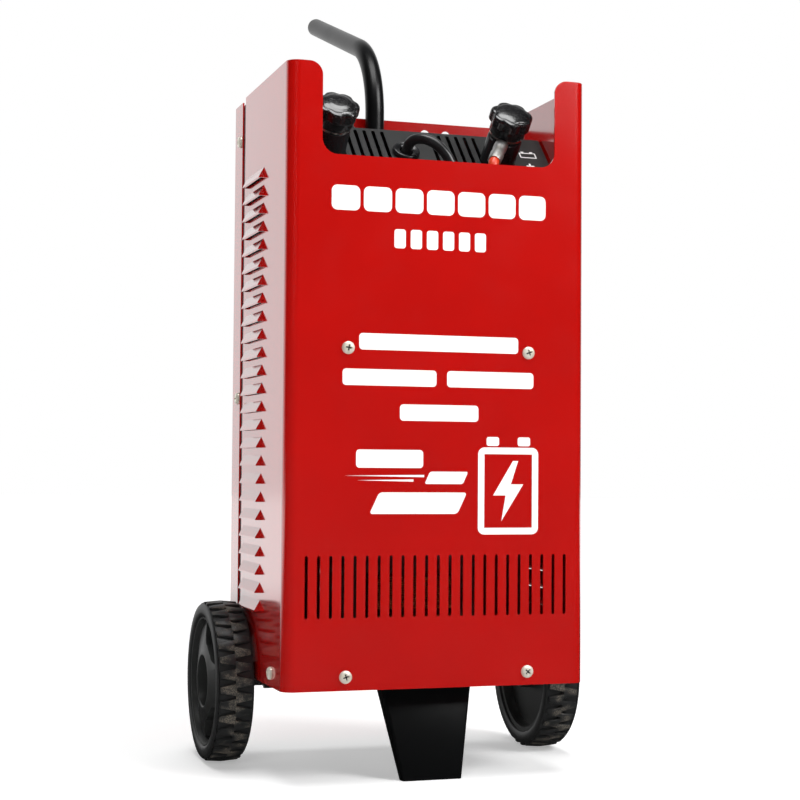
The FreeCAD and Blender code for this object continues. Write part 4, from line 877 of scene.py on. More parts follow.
@dataclass
class Printing:
    """Wordless graphics on the front and marks on the panel, as thin ink."""

    proud: float = 0.14

    def front(self, x: float, z: float) -> Matrix:
        """Local X to the right, local Y up, local Z out of the front face."""
        return aim((x, 0.2, z), FRONT, X_AXIS)

    def bar(self, stock: Stock, place: Matrix, width: float, height: float, corner: float,
            slant: float = 0.0) -> None:
        """Add a rounded bar with an optional slant.

        Args:
            stock: where it goes.
            place: its middle.
            width: along local X.
            height: along local Y.
            corner: rounding of its corners.
            slant: how far its top leans to the right.
        """
        w, h = width / 2, height / 2
        outline = [(-w - slant / 2, -h), (w - slant / 2, -h), (w + slant / 2, h), (-w + slant / 2, h)]
        before = set(stock.bm.verts)
        verts = stock.plate(outline, self.proud + 0.2, place)
        normal = place.to_3x3() @ Z_AXIS
        upright = [e for v in verts for e in v.link_edges
                   if abs(((e.verts[1].co - e.verts[0].co).normalized()).dot(normal)) > 0.99]
        if corner > 0.0:
            stock.round(list(set(upright)), corner, 5)
        LOG.debug("bar of %d vertices", len(set(stock.bm.verts) - before))

    def frame(self, stock: Stock, place: Matrix, width: float, height: float, wall: float,
              corner: float) -> None:
        """Add a rounded frame.

        Args:
            stock: where it goes.
            place: its middle.
            width: its outer width along local X.
            height: its outer height along local Y.
            wall: the width of its line.
            corner: rounding of its outer corners.
        """
        before = set(stock.bm.verts)
        w, h = width / 2, height / 2
        corners = [stock.bm.verts.new((x, y, 0.0)) for x, y in ((-w, -h), (w, -h), (w, h), (-w, h))]
        face = stock.bm.faces.new(corners)
        bmesh.ops.bevel(stock.bm, geom=corners, offset=corner, offset_type="OFFSET", affect="VERTICES",
                        segments=6,
                        profile=0.5, material=-1)
        face = max((f for f in stock.bm.faces if all(v not in before for v in f.verts)),
                   key=lambda f: f.calc_area())
        band = bmesh.ops.inset_region(stock.bm, faces=[face], thickness=wall, use_boundary=True,
                                      use_even_offset=True)["faces"]
        bmesh.ops.delete(stock.bm, geom=[face], context="FACES")
        made = bmesh.ops.extrude_face_region(stock.bm, geom=band)["geom"]
        raised = [g for g in made if isinstance(g, bmesh.types.BMVert)]
        bmesh.ops.translate(stock.bm, vec=(0.0, 0.0, self.proud + 0.2), verts=raised)
        fresh = [v for v in stock.bm.verts if v not in before]
        bmesh.ops.transform(stock.bm, matrix=place, verts=fresh)

    def build(self) -> None:
        """Print everything."""
        self.title()
        self.lines()
        self.emblem()
        self.panel_marks()

    def title(self) -> None:
        """A charge gauge of seven bold blocks over a row of small ones."""
        stock = Stock()
        widths = (26.0, 26.0, 26.0, 26.0, 26.0, 26.0, 26.0)
        gap = 3.4
        total = sum(widths) + gap * (len(widths) - 1)
        x = -total / 2
        for index, width in enumerate(widths):
            place = self.front(x + width / 2, 431.0)
            self.bar(stock, place, width, 22.0, 5.0)
            x += width + gap
        SHOP.piece("print_gauge", stock, WHITE_INK)
        stock = Stock()
        for index in range(6):
            x = -38.0 + index * 15.2
            self.bar(stock, self.front(x, 397.0), 10.6, 17.0, 2.4)
        SHOP.piece("print_level", stock, WHITE_INK)

    def lines(self) -> None:
        """Three centred lines of broken bars."""
        rows = ((305.0, ((-75.0, 75.0),)), (273.5, ((-90.0, -3.0), (7.0, 90.0))), (243.0, ((-37.0, 37.0),)))
        stock = Stock()
        for z, words in rows:
            for x0, x1 in words:
                self.bar(stock, self.front((x0 + x1) / 2, z), x1 - x0, 14.5, 3.2)
        SHOP.piece("print_lines", stock, WHITE_INK)

    def emblem(self) -> None:
        """Speed rules, slanted bars and a battery with a lightning flash."""
        stock = Stock()
        for x0, x1, z in ((-88.0, -14.0, 187.0), (-76.0, -24.0, 183.0)):
            outline = [(x0, 0.0), (x1, -1.0), (x1, 1.0)]
            stock.plate(outline, self.proud + 0.2, self.front(0.0, z))
        self.bar(stock, self.front(-46.0, 202.0), 62.0, 16.0, 3.0)
        self.bar(stock, self.front(-19.0, 163.0), 82.0, 19.0, 3.0, 9.0)
        self.bar(stock, self.front(7.0, 185.5), 36.0, 11.0, 2.0, 5.0)
        SHOP.piece("print_rules", stock, WHITE_INK)
        battery = Stock()
        centre = (66.0, 174.0)
        width, height, wall = 58.0, 78.0, 6.0
        self.frame(battery, self.front(*centre), width, height, wall, 6.0)
        for sign in (-1.0, 1.0):
            spot = self.front(centre[0] + sign * 15.0, centre[1] + height / 2 + 5.4)
            self.bar(battery, spot, 12.0, 8.0, 2.0)
        SHOP.piece("print_battery", battery, WHITE_INK)
        flash = Stock()
        outline = [(4.0, 27.0), (-15.0, -4.0), (-3.0, -4.0), (-7.0, -27.0), (14.0, 6.0), (2.0, 6.0),
                   (9.0, 27.0)]
        flash.plate(outline, self.proud + 0.2, self.front(centre[0] + 0.5, centre[1]))
        SHOP.piece("print_flash", flash, WHITE_INK)

    def panel_marks(self) -> None:
        """Plus and minus by the terminals, a small battery, and marks round the controls."""
        stock = Stock()
        for x, is_plus in ((117.0, True), (-117.0, False)):
            place = SLOPE.place(x, 21.0, -0.15)
            self.bar(stock, place, 8.0, 1.9, 0.3)
            if is_plus:
                self.bar(stock, place, 1.9, 8.0, 0.3)
        self.frame(stock, SLOPE.place(119.0, 38.5, -0.15), 17.0, 8.4, 1.2, 1.0)
        for sign in (-1.0, 1.0):
            self.bar(stock, SLOPE.place(119.0 + sign * 4.5, 43.8, -0.15), 3.0, 1.6, 0.2)
        for step in range(6):
            angle = math.radians(40.0 + step * 20.0)
            place = aim((-57.0 + 25.5 * math.cos(angle), 150.0 + 25.5 * math.sin(angle), SLOPE.deck - 0.15),
                        Z_AXIS, Vector((math.cos(angle), math.sin(angle), 0.0)))
            self.bar(stock, place, 3.2, 1.0 + step * 0.25, 0.3)
        self.bar(stock, aim((-108.0, 170.5, SLOPE.deck - 0.15), Z_AXIS), 1.4, 5.4, 0.3)
        SHOP.piece("print_panel_marks", stock, WHITE_INK)
        ring = Stock()
        ring.turned([(2.0, 0.0), (2.8, 0.0), (2.8, 0.12), (2.0, 0.12), (2.0, 0.0)],
                    aim((-108.0, 130.0, SLOPE.deck - 0.02), Z_AXIS), 28)
        SHOP.piece("print_off_mark", ring, WHITE_INK)


# ---------------------------------------------------------------- running gear


@dataclass
class RunningWheel:
    """One wheel: a tyre with two staggered rows of blocks, and a three-spoked centre."""

    side: Side
    radius: float = 75.0
    width: float = 35.0
    outer_face: float = 178.5
    centre_y: float = 164.4
    centre_z: float = -8.0
    rim: float = 60.0
    blocks: int = 34
    spokes: int = 3
    spoke: float = 38.0
    recess: float = 4.6
    hub: float = 28.4
    bore: float = 23.6

    def place(self) -> Matrix:
        """Local Z runs outwards from the wheel's inner face."""
        inner = self.outer_face - self.width
        return aim((self.side.value * inner, self.centre_y, self.centre_z), X_AXIS * self.side.value, FRONT)

    def build(self) -> None:
        """Tyre and centre."""
        self.tyre()
        self.centre()

    def tyre(self) -> None:
        """The carcass and its tread blocks."""
        r, w, rim = self.radius, self.width, self.rim
        stock = Stock()
        carcass = [(rim, 2.6), (rim + 0.6, 1.2), (rim + 3.0, 0.4), (r - 6.0, 0.0), (r - 4.4, 0.8),
                   (r - 3.8, 2.4),
                   (r - 3.4, 3.4), (r - 3.4, w - 3.4), (r - 3.8, w - 2.4), (r - 2.6, w - 1.4), (r - 3.6,
                                                                                                w - 0.4),
                   (r - 6.0, w), (r - 10.5, w), (rim + 2.2, w - 0.5), (rim + 0.6, w - 1.4), (rim, w - 2.6),
                   (rim, 2.6)]
        stock.turned(carcass, self.place(), 96)
        pitch = math.tau / self.blocks
        for row, (shoulder, middle) in enumerate(((w - 2.8, w / 2 - 0.3), (2.8, w / 2 + 0.3))):
            verts = self.block(stock, shoulder, middle, pitch)
            turn = Matrix.Rotation(pitch * 0.5 * row, 4, "Z")
            bmesh.ops.transform(stock.bm, matrix=self.place() @ turn, verts=verts)
            origin = self.place().translation
            stock.copies(verts, origin, X_AXIS, self.blocks)
        SHOP.piece(f"{self.side.word}_tyre_tread", stock, RUBBER, f"{self.side.word}_wheel",
                   (f"{self.side.word}_tyre",), 40.0)

    def block(self, stock: Stock, shoulder: float, middle: float, pitch: float) -> list:
        """One tapered block: broad at the tread's middle, narrow and sloping at its shoulder.

        Args:
            stock: where it goes.
            shoulder: local Z of its outer end.
            middle: local Z of its inner end.
            pitch: the angle from block to block.

        Returns:
            Its vertices, in the wheel's local axes.
        """
        r = self.radius
        before = set(stock.bm.verts)
        low, high = sorted((shoulder, middle))
        stock.block((r - 5.5, -1.0, low), (r, 1.0, high))
        verts = [v for v in stock.bm.verts if v not in before]
        inner_half = r * pitch * 0.44
        outer_half = r * pitch * 0.21
        for vert in verts:
            at_shoulder = abs(vert.co.z - shoulder) < 0.01
            half = outer_half if at_shoulder else inner_half
            vert.co.y *= half
            if vert.co.x > r - 0.5:
                vert.co.y *= 0.9
                vert.co.x -= 1.1 if at_shoulder else 0.0
        edges = [e for v in verts for e in v.link_edges if max(p.co.x for p in e.verts) > r - 2.0]
        stock.round(list(set(edges)), 0.7, 2)
        return [v for v in stock.bm.verts if v not in before]

    def centre(self) -> None:
        """Rim wall and a shallow cone cut into three broad spokes round a deep hub."""
        w, rim, hub, bore = self.width, self.rim - 0.05, self.hub, self.bore
        face, foot = w - 0.8, w - 6.6
        section = [(rim, 3.2), (rim, w - 2.4), (rim - 0.6, w - 1.6), (rim - 1.6, w - 1.8),
                   (rim - 2.4, w - 3.4),
                   (rim - 3.2, foot - 0.6), (rim - 4.2, foot), (hub, face - 0.9), (hub - 1.6,
                                                                                   face), (bore + 0.8, face),
                   (bore, face - 0.8), (bore - 0.8, 19.4), (10.4, 18.6), (9.8, 14.6), (6.3, 14.4), (6.1,
                                                                                                    14.0),
                   (6.1, 0.4), (6.5, 0.0), (15.0, 0.0), (16.4, 1.4), (16.8, 12.0), (rim - 6.0,
                                                                                    13.2), (rim - 5.0, 11.6),
                   (rim - 4.4, 3.4), (rim, 3.2)]
        body = Stock()
        body.turned(section, Matrix.Identity(4), 96)
        cutter = Stock()
        window = self.window()
        for index in range(self.spokes):
            turn = Matrix.Rotation(math.tau * (index + 0.5) / self.spokes, 4, "Z")
            cutter.plate(window, 30.0, turn @ Matrix.Translation((0.0, 0.0, foot - self.recess)))
        mesh = carve(body, cutter, f"{self.side.word}_centre")
        stock = Stock()
        stock.bm.from_mesh(mesh)
        edges = [e for e in stock.bm.edges if len(e.link_faces) == 2 and e.calc_face_angle(0.0) > 0.9
                 and self.on_spoke(e, foot)]
        stock.round(edges, 0.8, 2)
        bmesh.ops.transform(stock.bm, matrix=self.place(), verts=stock.bm.verts[:])
        SHOP.piece(f"{self.side.word}_wheel_hub", stock, WHEEL, f"{self.side.word}_wheel",
                   (f"{self.side.word}_wheel_centre",), 32.0)

    def on_spoke(self, edge: bmesh.types.BMEdge, foot: float) -> bool:
        """Whether an edge is one of the spokes' upper edges."""
        return all(v.co.z > foot - 0.4 and self.hub + 1.0 < v.co.xy.length < self.rim - 4.8
                   for v in edge.verts)

    def window(self) -> list:
        """The recess between two spokes, its middle along local X."""
        outer, half = self.rim - 4.6, self.spoke / 2
        third = math.pi / self.spokes
        slope = Vector((math.cos(third), math.sin(third)))
        square = Vector((math.sin(third), -math.cos(third)))
        upper = [slope * reach + square * (half + flare) for reach, flare in
                 ((math.sqrt(outer ** 2 - half ** 2), 0.0), (46.0, 0.1), (38.0, 0.5), (32.0, 1.6),
                  (27.0, 3.7),
                  (23.6, 7.0))]
        lower = [Vector((p.x, -p.y)) for p in reversed(upper)]
        tip = math.atan2(upper[0].y, upper[0].x)
        arc = [Vector((outer * math.cos(tip * k / 6.0), outer * math.sin(tip * k / 6.0))) for k in range(-5,
                                                                                                         6)]
        return [tuple(p) for p in upper + lower + arc]


@dataclass
class FrontFoot:
    """The tapered channel under the front of the case."""

    top_half: float = 43.0
    sole_half: float = 28.0
    top_front: float = 30.0
    sole_front: float = 12.0
    top_depth: float = 18.0
    sole_depth: float = 9.0
    ground: float = -83.0
    sheet: float = 3.0

    def build(self) -> None:
        """Fold the channel, its sole and its top flange."""
        stock = Stock()
        top = [(-self.top_half, self.top_front + self.top_depth), (-self.top_half, self.top_front),
               (self.top_half, self.top_front), (self.top_half, self.top_front + self.top_depth)]
        sole = [(-self.sole_half, self.sole_front + self.sole_depth), (-self.sole_half, self.sole_front),
                (self.sole_half, self.sole_front), (self.sole_half, self.sole_front + self.sole_depth)]
        line = [stock.bm.verts.new((x, y, -0.25)) for x, y in top]
        edges = [stock.bm.edges.new(pair) for pair in zip(line, line[1:])]
        made = bmesh.ops.extrude_edge_only(stock.bm, edges=edges)["geom"]
        lower = [g for g in made if isinstance(g, bmesh.types.BMVert)]
        for vert in lower:
            index = min(range(4), key=lambda i: (Vector(top[i]) - vert.co.xy).length)
            vert.co = Vector((sole[index][0], sole[index][1], self.ground + 0.02))
        folds = [e for e in stock.bm.edges if len(e.link_faces) == 2]
        stock.round(folds, 3.2, 5)
        bmesh.ops.recalc_face_normals(stock.bm, faces=stock.bm.faces[:])
        outward = sum((f.normal for f in stock.bm.faces if abs(f.normal.y) > 0.8), Vector())
        if outward.y > 0.0:
            bmesh.ops.reverse_faces(stock.bm, faces=stock.bm.faces[:])
        bmesh.ops.solidify(stock.bm, geom=stock.bm.faces[:], thickness=self.sheet)
        stock.round_sharp(0.5, 2, 60.0)
        stock.block((-self.sole_half + 4.0, self.sole_front + 1.5, self.ground),
                    (self.sole_half - 4.0, self.sole_front + 22.0, self.ground + self.sheet), None, 0.6)
        stock.block((-self.top_half + 5.0, self.top_front + 1.5, -3.2),
                    (self.top_half - 5.0, self.top_front + 24.0, -0.22), None, 0.6)
        for vert in stock.bm.verts:
            vert.co.z = max(vert.co.z, self.ground + 0.02)
        SHOP.piece("foot_channel", stock, GLOSS_BLACK, replaces=("front_foot",))


@dataclass
class Handle:
    """The bent tube and its end plug."""

    radius: float = 9.5
    wall: float = 1.5
    y: float = 203.7
    low: float = 300.5
    bend_start: float = 550.0
    bend_radius: float = 87.0
    bend_angle: float = math.radians(69.7)
    grip: float = 186.0

    def build(self) -> None:
        """Sweep the tube, then cap it."""
        stock = Stock()
        start = Matrix.Translation((0.0, self.y, self.low))
        ring = bmesh.ops.create_circle(stock.bm, cap_ends=False, radius=self.radius, segments=48,
                                       matrix=start)["verts"]
        loop = list({e for v in ring for e in v.link_edges})
        ends = self.carry(stock, loop, Vector((0.0, 0.0, self.bend_start - self.low)))
        centre = Vector((0.0, self.y + self.bend_radius, self.bend_start))
        geom = ends + list({v for e in ends for v in e.verts})
        made = bmesh.ops.spin(stock.bm, geom=geom, cent=centre, axis=(-1, 0, 0), dvec=(0, 0, 0),
                              angle=self.bend_angle, steps=28, use_merge=False, use_normal_flip=False,
                              use_duplicate=False)
        last = [g for g in made["geom_last"] if isinstance(g, bmesh.types.BMEdge)]
        direction = Vector((0.0, math.sin(self.bend_angle), math.cos(self.bend_angle)))
        self.carry(stock, last, direction * self.grip)
        bmesh.ops.remove_doubles(stock.bm, verts=stock.bm.verts[:], dist=0.001)
        bmesh.ops.recalc_face_normals(stock.bm, faces=stock.bm.faces[:])
        sample = min(stock.bm.faces, key=lambda f: abs(f.calc_center_median().z - 400.0))
        outward = sample.calc_center_median() - Vector((0.0, self.y, sample.calc_center_median().z))
        if sample.normal.dot(outward) < 0.0:
            bmesh.ops.reverse_faces(stock.bm, faces=stock.bm.faces[:])
        bmesh.ops.solidify(stock.bm, geom=stock.bm.faces[:], thickness=self.wall)
        SHOP.piece("handle_bar", stock, GLOSS_BLACK, replaces=("handle_tube",))
        self.plug(direction)

    @staticmethod
    def carry(stock: Stock, edges: list, run: Vector) -> list:
        """Extrude a loop of edges in eight steps and return the last loop."""
        for _ in range(8):
            made = bmesh.ops.extrude_edge_only(stock.bm, edges=edges)["geom"]
            verts = [g for g in made if isinstance(g, bmesh.types.BMVert)]
            bmesh.ops.translate(stock.bm, vec=run / 8, verts=verts)
            edges = [g for g in made if isinstance(g,
                                                   bmesh.types.BMEdge) and all(v in verts for v in g.verts)]
        return edges

    def plug(self, direction: Vector) -> None:
        """The domed plastic plug in the tube's open end."""
        bend_end = Vector((0.0, self.y + self.bend_radius * (1.0 - math.cos(self.bend_angle)),
                           self.bend_start + self.bend_radius * math.sin(self.bend_angle)))
        end = bend_end + direction * self.grip
        r = self.radius
        profile = [(0.0, 2.95), (r * 0.5, 2.85), (r * 0.8, 2.4), (r * 0.95, 1.5), (r, 0.5), (r * 0.99, 0.02),
                   (r - 1.7, 0.0), (r - 1.7, -13.0), (0.0, -13.5)]
        stock = Stock()
        stock.turned(profile, aim(end, direction), 40)
        SHOP.piece("handle_plug", stock, CONTROL, replaces=("handle_end_cap",))


# ---------------------------------------------------------------- terminals


@dataclass
class Terminal:
    """A post and the clamping knob on it."""

    side: Side
    lift: float
    spacing: float = 84.0
    along: float = 25.5
    post_radius: float = 17.0
    post_height: float = 28.0
    skirt: float = 9.0
    cap: float = 12.0
    radius: float = 20.5
    lobes: int = 7

    def place(self, height: float = 0.0) -> Matrix:
        """Local Z out of the slope at the post's middle."""
        return SLOPE.place(self.side.value * self.spacing, self.along, height)

    def knob(self) -> None:
        """The knob: a plain skirt and a lobed cap with a soft crown."""
        base = self.lift + 2.0 + 0.1
        place = self.place(base)
        stock = Stock()
        r = self.post_radius
        skirt = [(5.1, 0.0), (r - 0.8, 0.0), (r, 0.8), (r, self.skirt - 1.0), (r + 0.7, self.skirt + 0.6),
                 (5.1, self.skirt + 0.6), (5.1, 0.0)]
        stock.turned(skirt, place, 64)

        def rim(angle: float, scallop: float) -> float:
            """Seven broad lobes between narrow scallops."""
            wave = 0.5 - 0.5 * math.cos(self.lobes * (angle + math.pi / self.lobes))
            return self.radius - 0.68 * scallop * (1.0 - wave) ** 1.8

        s, top = self.skirt, self.skirt + self.cap
        layers = [(s, 3.4, 1.6), (s + 0.4, 1.4, 2.6), (s + 1.5, 0.35, 3.4), (s + 2.6, 0.0, 3.6),
                  (top - 3.0, 0.0, 3.6),
                  (top - 1.4, 0.45, 3.3), (top - 0.4, 1.5, 2.8), (top + 0.1, 3.0, 2.2), (top + 0.25, 4.4,
                                                                                         1.4),
                  (top + 0.9, 5.6, 0.7), (top + 1.9, 8.6, 0.2), (top + 2.6, 12.6, 0.0), (top + 2.9, 17.0,
                                                                                         0.0)]
        stock.grown(self.lobes * 16, rim, layers, place)
        name = f"{self.side.word}_knob"
        SHOP.piece(f"{name}_grip", stock, KNOB, name, (name,), 50.0)

    def post(self, stock: Stock) -> None:
        """Add the insulating post."""
        r, h = self.post_radius, self.post_height
        profile = [(5.1, 0.1), (r + 0.0, 0.1), (r, 1.2), (r - 0.5, 2.0), (r - 0.5, h - 1.6),
                   (r - 1.1, h - 0.4),
                   (r - 2.0, h + 0.05), (5.1, h + 0.05), (5.1, 0.1)]
        stock.turned(profile, self.place(), 64)


@dataclass
class RedLug:
    """The ring lug on the right terminal: a flat eye, a palm and a crimped barrel."""

    turn: float = math.radians(28.0)
    reach: float = 49.0
    barrel: float = 6.5
    seat: float = 28.2
    thickness: float = 3.0

    @property
    def direction(self) -> Vector:
        """The way the barrel points."""
        return -SLOPE.up * math.cos(self.turn) - X_AXIS * math.sin(self.turn)

    @property
    def exit(self) -> Vector:
        """Centre of the barrel's open end."""
        middle = SLOPE.place(84.0, 25.5, self.seat + self.thickness / 2).translation
        return middle + self.direction * self.reach

    def build(self) -> bpy.types.Object:
        """Shape the eye, palm and barrel."""
        stock = Stock()
        t = self.thickness
        eye = [(5.15, 0.3), (5.5, 0.0), (10.6, 0.0), (11.0, 0.4), (11.0, t - 0.4), (10.6, t), (5.5, t),
               (5.15, t - 0.3),
               (5.15, 0.3)]
        stock.turned(eye, SLOPE.place(84.0, 25.5, self.seat), 48)
        origin = SLOPE.place(84.0, 25.5, self.seat).translation
        across = SLOPE.normal.cross(self.direction)
        flat = aim(origin, SLOPE.normal, self.direction)
        palm = [(7.5, -6.5), (12.0, -6.0), (16.0, -6.1), (19.0, -6.4), (19.0, 6.4), (16.0, 6.1),
                (12.0, 6.0), (7.5, 6.5)]
        stock.plate(palm, t, flat, 0.4)
        LOG.debug("palm runs across %s", tuple(across))
        middle = origin + SLOPE.normal * (t / 2)
        b = self.barrel
        outline = [(0.0, 16.2), (2.2, 16.4), (b - 1.6, 17.2), (b - 0.3, 19.2), (b, 21.4), (b, 27.0),
                   (b - 0.3, 28.4),
                   (b - 0.55, 30.6), (b - 0.55, 33.4), (b - 0.3, 35.4), (b, 36.8), (b - 0.3,
                                                                                    self.reach - 1.2),
                   (b - 0.7, self.reach), (5.25, self.reach), (5.06, self.reach - 0.5), (5.06, 24.0), (0.0,
                                                                                                       24.0)]
        before = set(stock.bm.verts)
        stock.turned(outline, Matrix.Identity(4), 40)
        fresh = [v for v in stock.bm.verts if v not in before]
        bmesh.ops.transform(stock.bm, matrix=aim(middle, self.direction, across), verts=fresh)
        return SHOP.piece("red_lug_crimp", stock, TIN, replaces=("red_lug",), sharp=40.0)


@dataclass
class Gland:
    """The collar through which the black lead leaves the panel."""

    x: float = -7.0
    along: float = 29.5
    radius: float = 13.0
    height: float = 4.6
    bore: float = 5.8

    def place(self, height: float = 0.0) -> Matrix:
        """Local Z out of the slope at the gland's middle."""
        return SLOPE.place(self.x, self.along, height)

    def build(self) -> None:
        """A stepped collar with a rounded lip."""
        r, h, b = self.radius, self.height, self.bore
        profile = [(b, 0.1), (r - 0.2, 0.1), (r, 0.5), (r, h - 1.6), (r - 0.4, h - 0.7), (r - 1.2, h - 0.1),
                   (r - 2.2, h), (b + 3.4, h - 0.5), (b + 1.9, h - 0.9), (b + 0.6,
                                                                          h - 1.7), (b, h - 3.0), (b, 0.1)]
        stock = Stock()
        stock.turned(profile, self.place(), 64)
        stock.turned([(b, 0.1), (9.0, 0.1), (9.0, -12.0), (b, -12.0), (b, 0.1)], self.place(), 48)
        SHOP.piece("gland_collar", stock, POST, replaces=("cable_gland",), sharp=40.0)


# ---------------------------------------------------------------- deck controls


@dataclass
class DeckControls:
    """Selector, ammeter, rocker and fuse on the deck."""

    y: float = 150.0
    selector_x: float = -57.0
    meter_x: float = 44.0

    def build(self) -> None:
        """Every control."""
        self.selector()
        self.meter()
        self.softened("power_switch_frame", "rocker_bezel", CONTROL, "case", 0.5)
        self.softened("power_rocker", "rocker_button", POINTER, "rocker", 0.5)
        self.softened("fuse_holder", "fuse_body", CONTROL, "case", 0.4)
        self.softened("fuse_cap", "fuse_top", CONTROL, "fuse_cap", 0.5)

    @staticmethod
    def softened(node: str, name: str, finish: Finish, body: str, width: float) -> None:
        """A CAD node with its hard edges rounded.

        Args:
            node: the CAD node.
            name: the new piece's name.
            finish: what it is made of.
            body: what it rides on.
            width: the rounding.
        """
        stock = Stock()
        stock.adopt(node)
        stock.round_sharp(width, 2, 50.0)
        SHOP.piece(name, stock, finish, body, (node,))

    def selector(self) -> None:
        """A fluted knob with a pointer line."""
        place = aim((self.selector_x, self.y, SLOPE.deck + 2.4), Z_AXIS)
        stock = Stock()
        stock.turned([(3.1, 0.0), (19.4, 0.0), (20.0, 0.6), (20.0, 5.0), (19.4, 5.8), (18.0, 6.2),
                      (3.1, 6.2), (3.1, 0.0)],
                     place, 64)

        def rim(angle: float, scallop: float) -> float:
            """Ten flutes round the grip."""
            wave = 0.5 + 0.5 * math.cos(10 * angle)
            return 18.5 - scallop * wave ** 3

        layers = [(5.8, 0.0, 0.0), (7.6, 0.0, 0.2), (8.4, 0.0, 1.9), (24.2, 0.3, 1.9), (25.6, 0.8, 1.7),
                  (26.6, 1.9, 1.2),
                  (27.0, 3.4, 0.6), (26.9, 5.0, 0.0), (26.3, 5.8, 0.0), (26.3, 12.0, 0.0)]
        stock.grown(160, rim, layers, place)
        SHOP.piece("selector_grip", stock, CONTROL, "selector", ("selector_knob",), 45.0)
        line = Stock()
        line.block((self.selector_x - 0.7, self.y + 3.0, SLOPE.deck + 28.5),
                   (self.selector_x + 0.7, self.y + 12.4, SLOPE.deck + 28.95), None, 0.12)
        SHOP.piece("selector_line", line, WHITE_INK, "selector")

    def meter(self) -> None:
        """The ammeter's bezel, dial marks and numbers."""
        self.softened("ammeter_case", "meter_bezel", CONTROL, "case", 0.7)
        SHOP.keep(DIAL, "ammeter_dial")
        SHOP.keep(POINTER, "ammeter_needle")
        pivot = Vector((self.meter_x, self.y - 12.0, SLOPE.deck - 6.4))
        stock = Stock()
        for step in range(21):
            angle = math.radians(128.0 - step * 3.8)
            long = step % 5 == 0
            length = 3.4 if long else 1.9
            out = Vector((math.cos(angle), math.sin(angle), 0.0))
            place = aim(pivot + out * (21.0 + length / 2), Z_AXIS, out)
            half_long, half_wide = length / 2, 0.28 if long else 0.16
            stock.plate([(-half_long, -half_wide), (half_long, -half_wide), (half_long, half_wide),
                         (-half_long, half_wide)], 0.06, place)
        SHOP.piece("dial_marks", stock, DARK_INK)
        for index in range(5):
            angle = math.radians(128.0 - index * 19.0)
            out = Vector((math.cos(angle), math.sin(angle), 0.0))
            self.number(str(index * 10), pivot + out * 17.6 + Z_AXIS * 0.02, f"dial_number_{index}")

    @staticmethod
    def number(text: str, spot: Vector, name: str) -> None:
        """One printed number.

        Args:
            text: the digits.
            spot: its middle, in case millimetres.
            name: the piece's name.
        """
        curve = bpy.data.curves.new(name, "FONT")
        curve.body = text
        curve.size = 3.4
        curve.align_x = "CENTER"
        curve.align_y = "CENTER"
        curve.extrude = 0.03
        holder = bpy.data.objects.new(name + "_text", curve)
        bpy.context.scene.collection.objects.link(holder)
        mesh = bpy.data.meshes.new_from_object(holder.evaluated_get(bpy.context.evaluated_depsgraph_get()))
        bpy.data.objects.remove(holder)
        mesh.transform(CASE.matrix() @ Matrix.Translation(spot))
        SHOP.adopt_mesh(name, mesh, DARK_INK)


# ---------------------------------------------------------------- leads and clamps


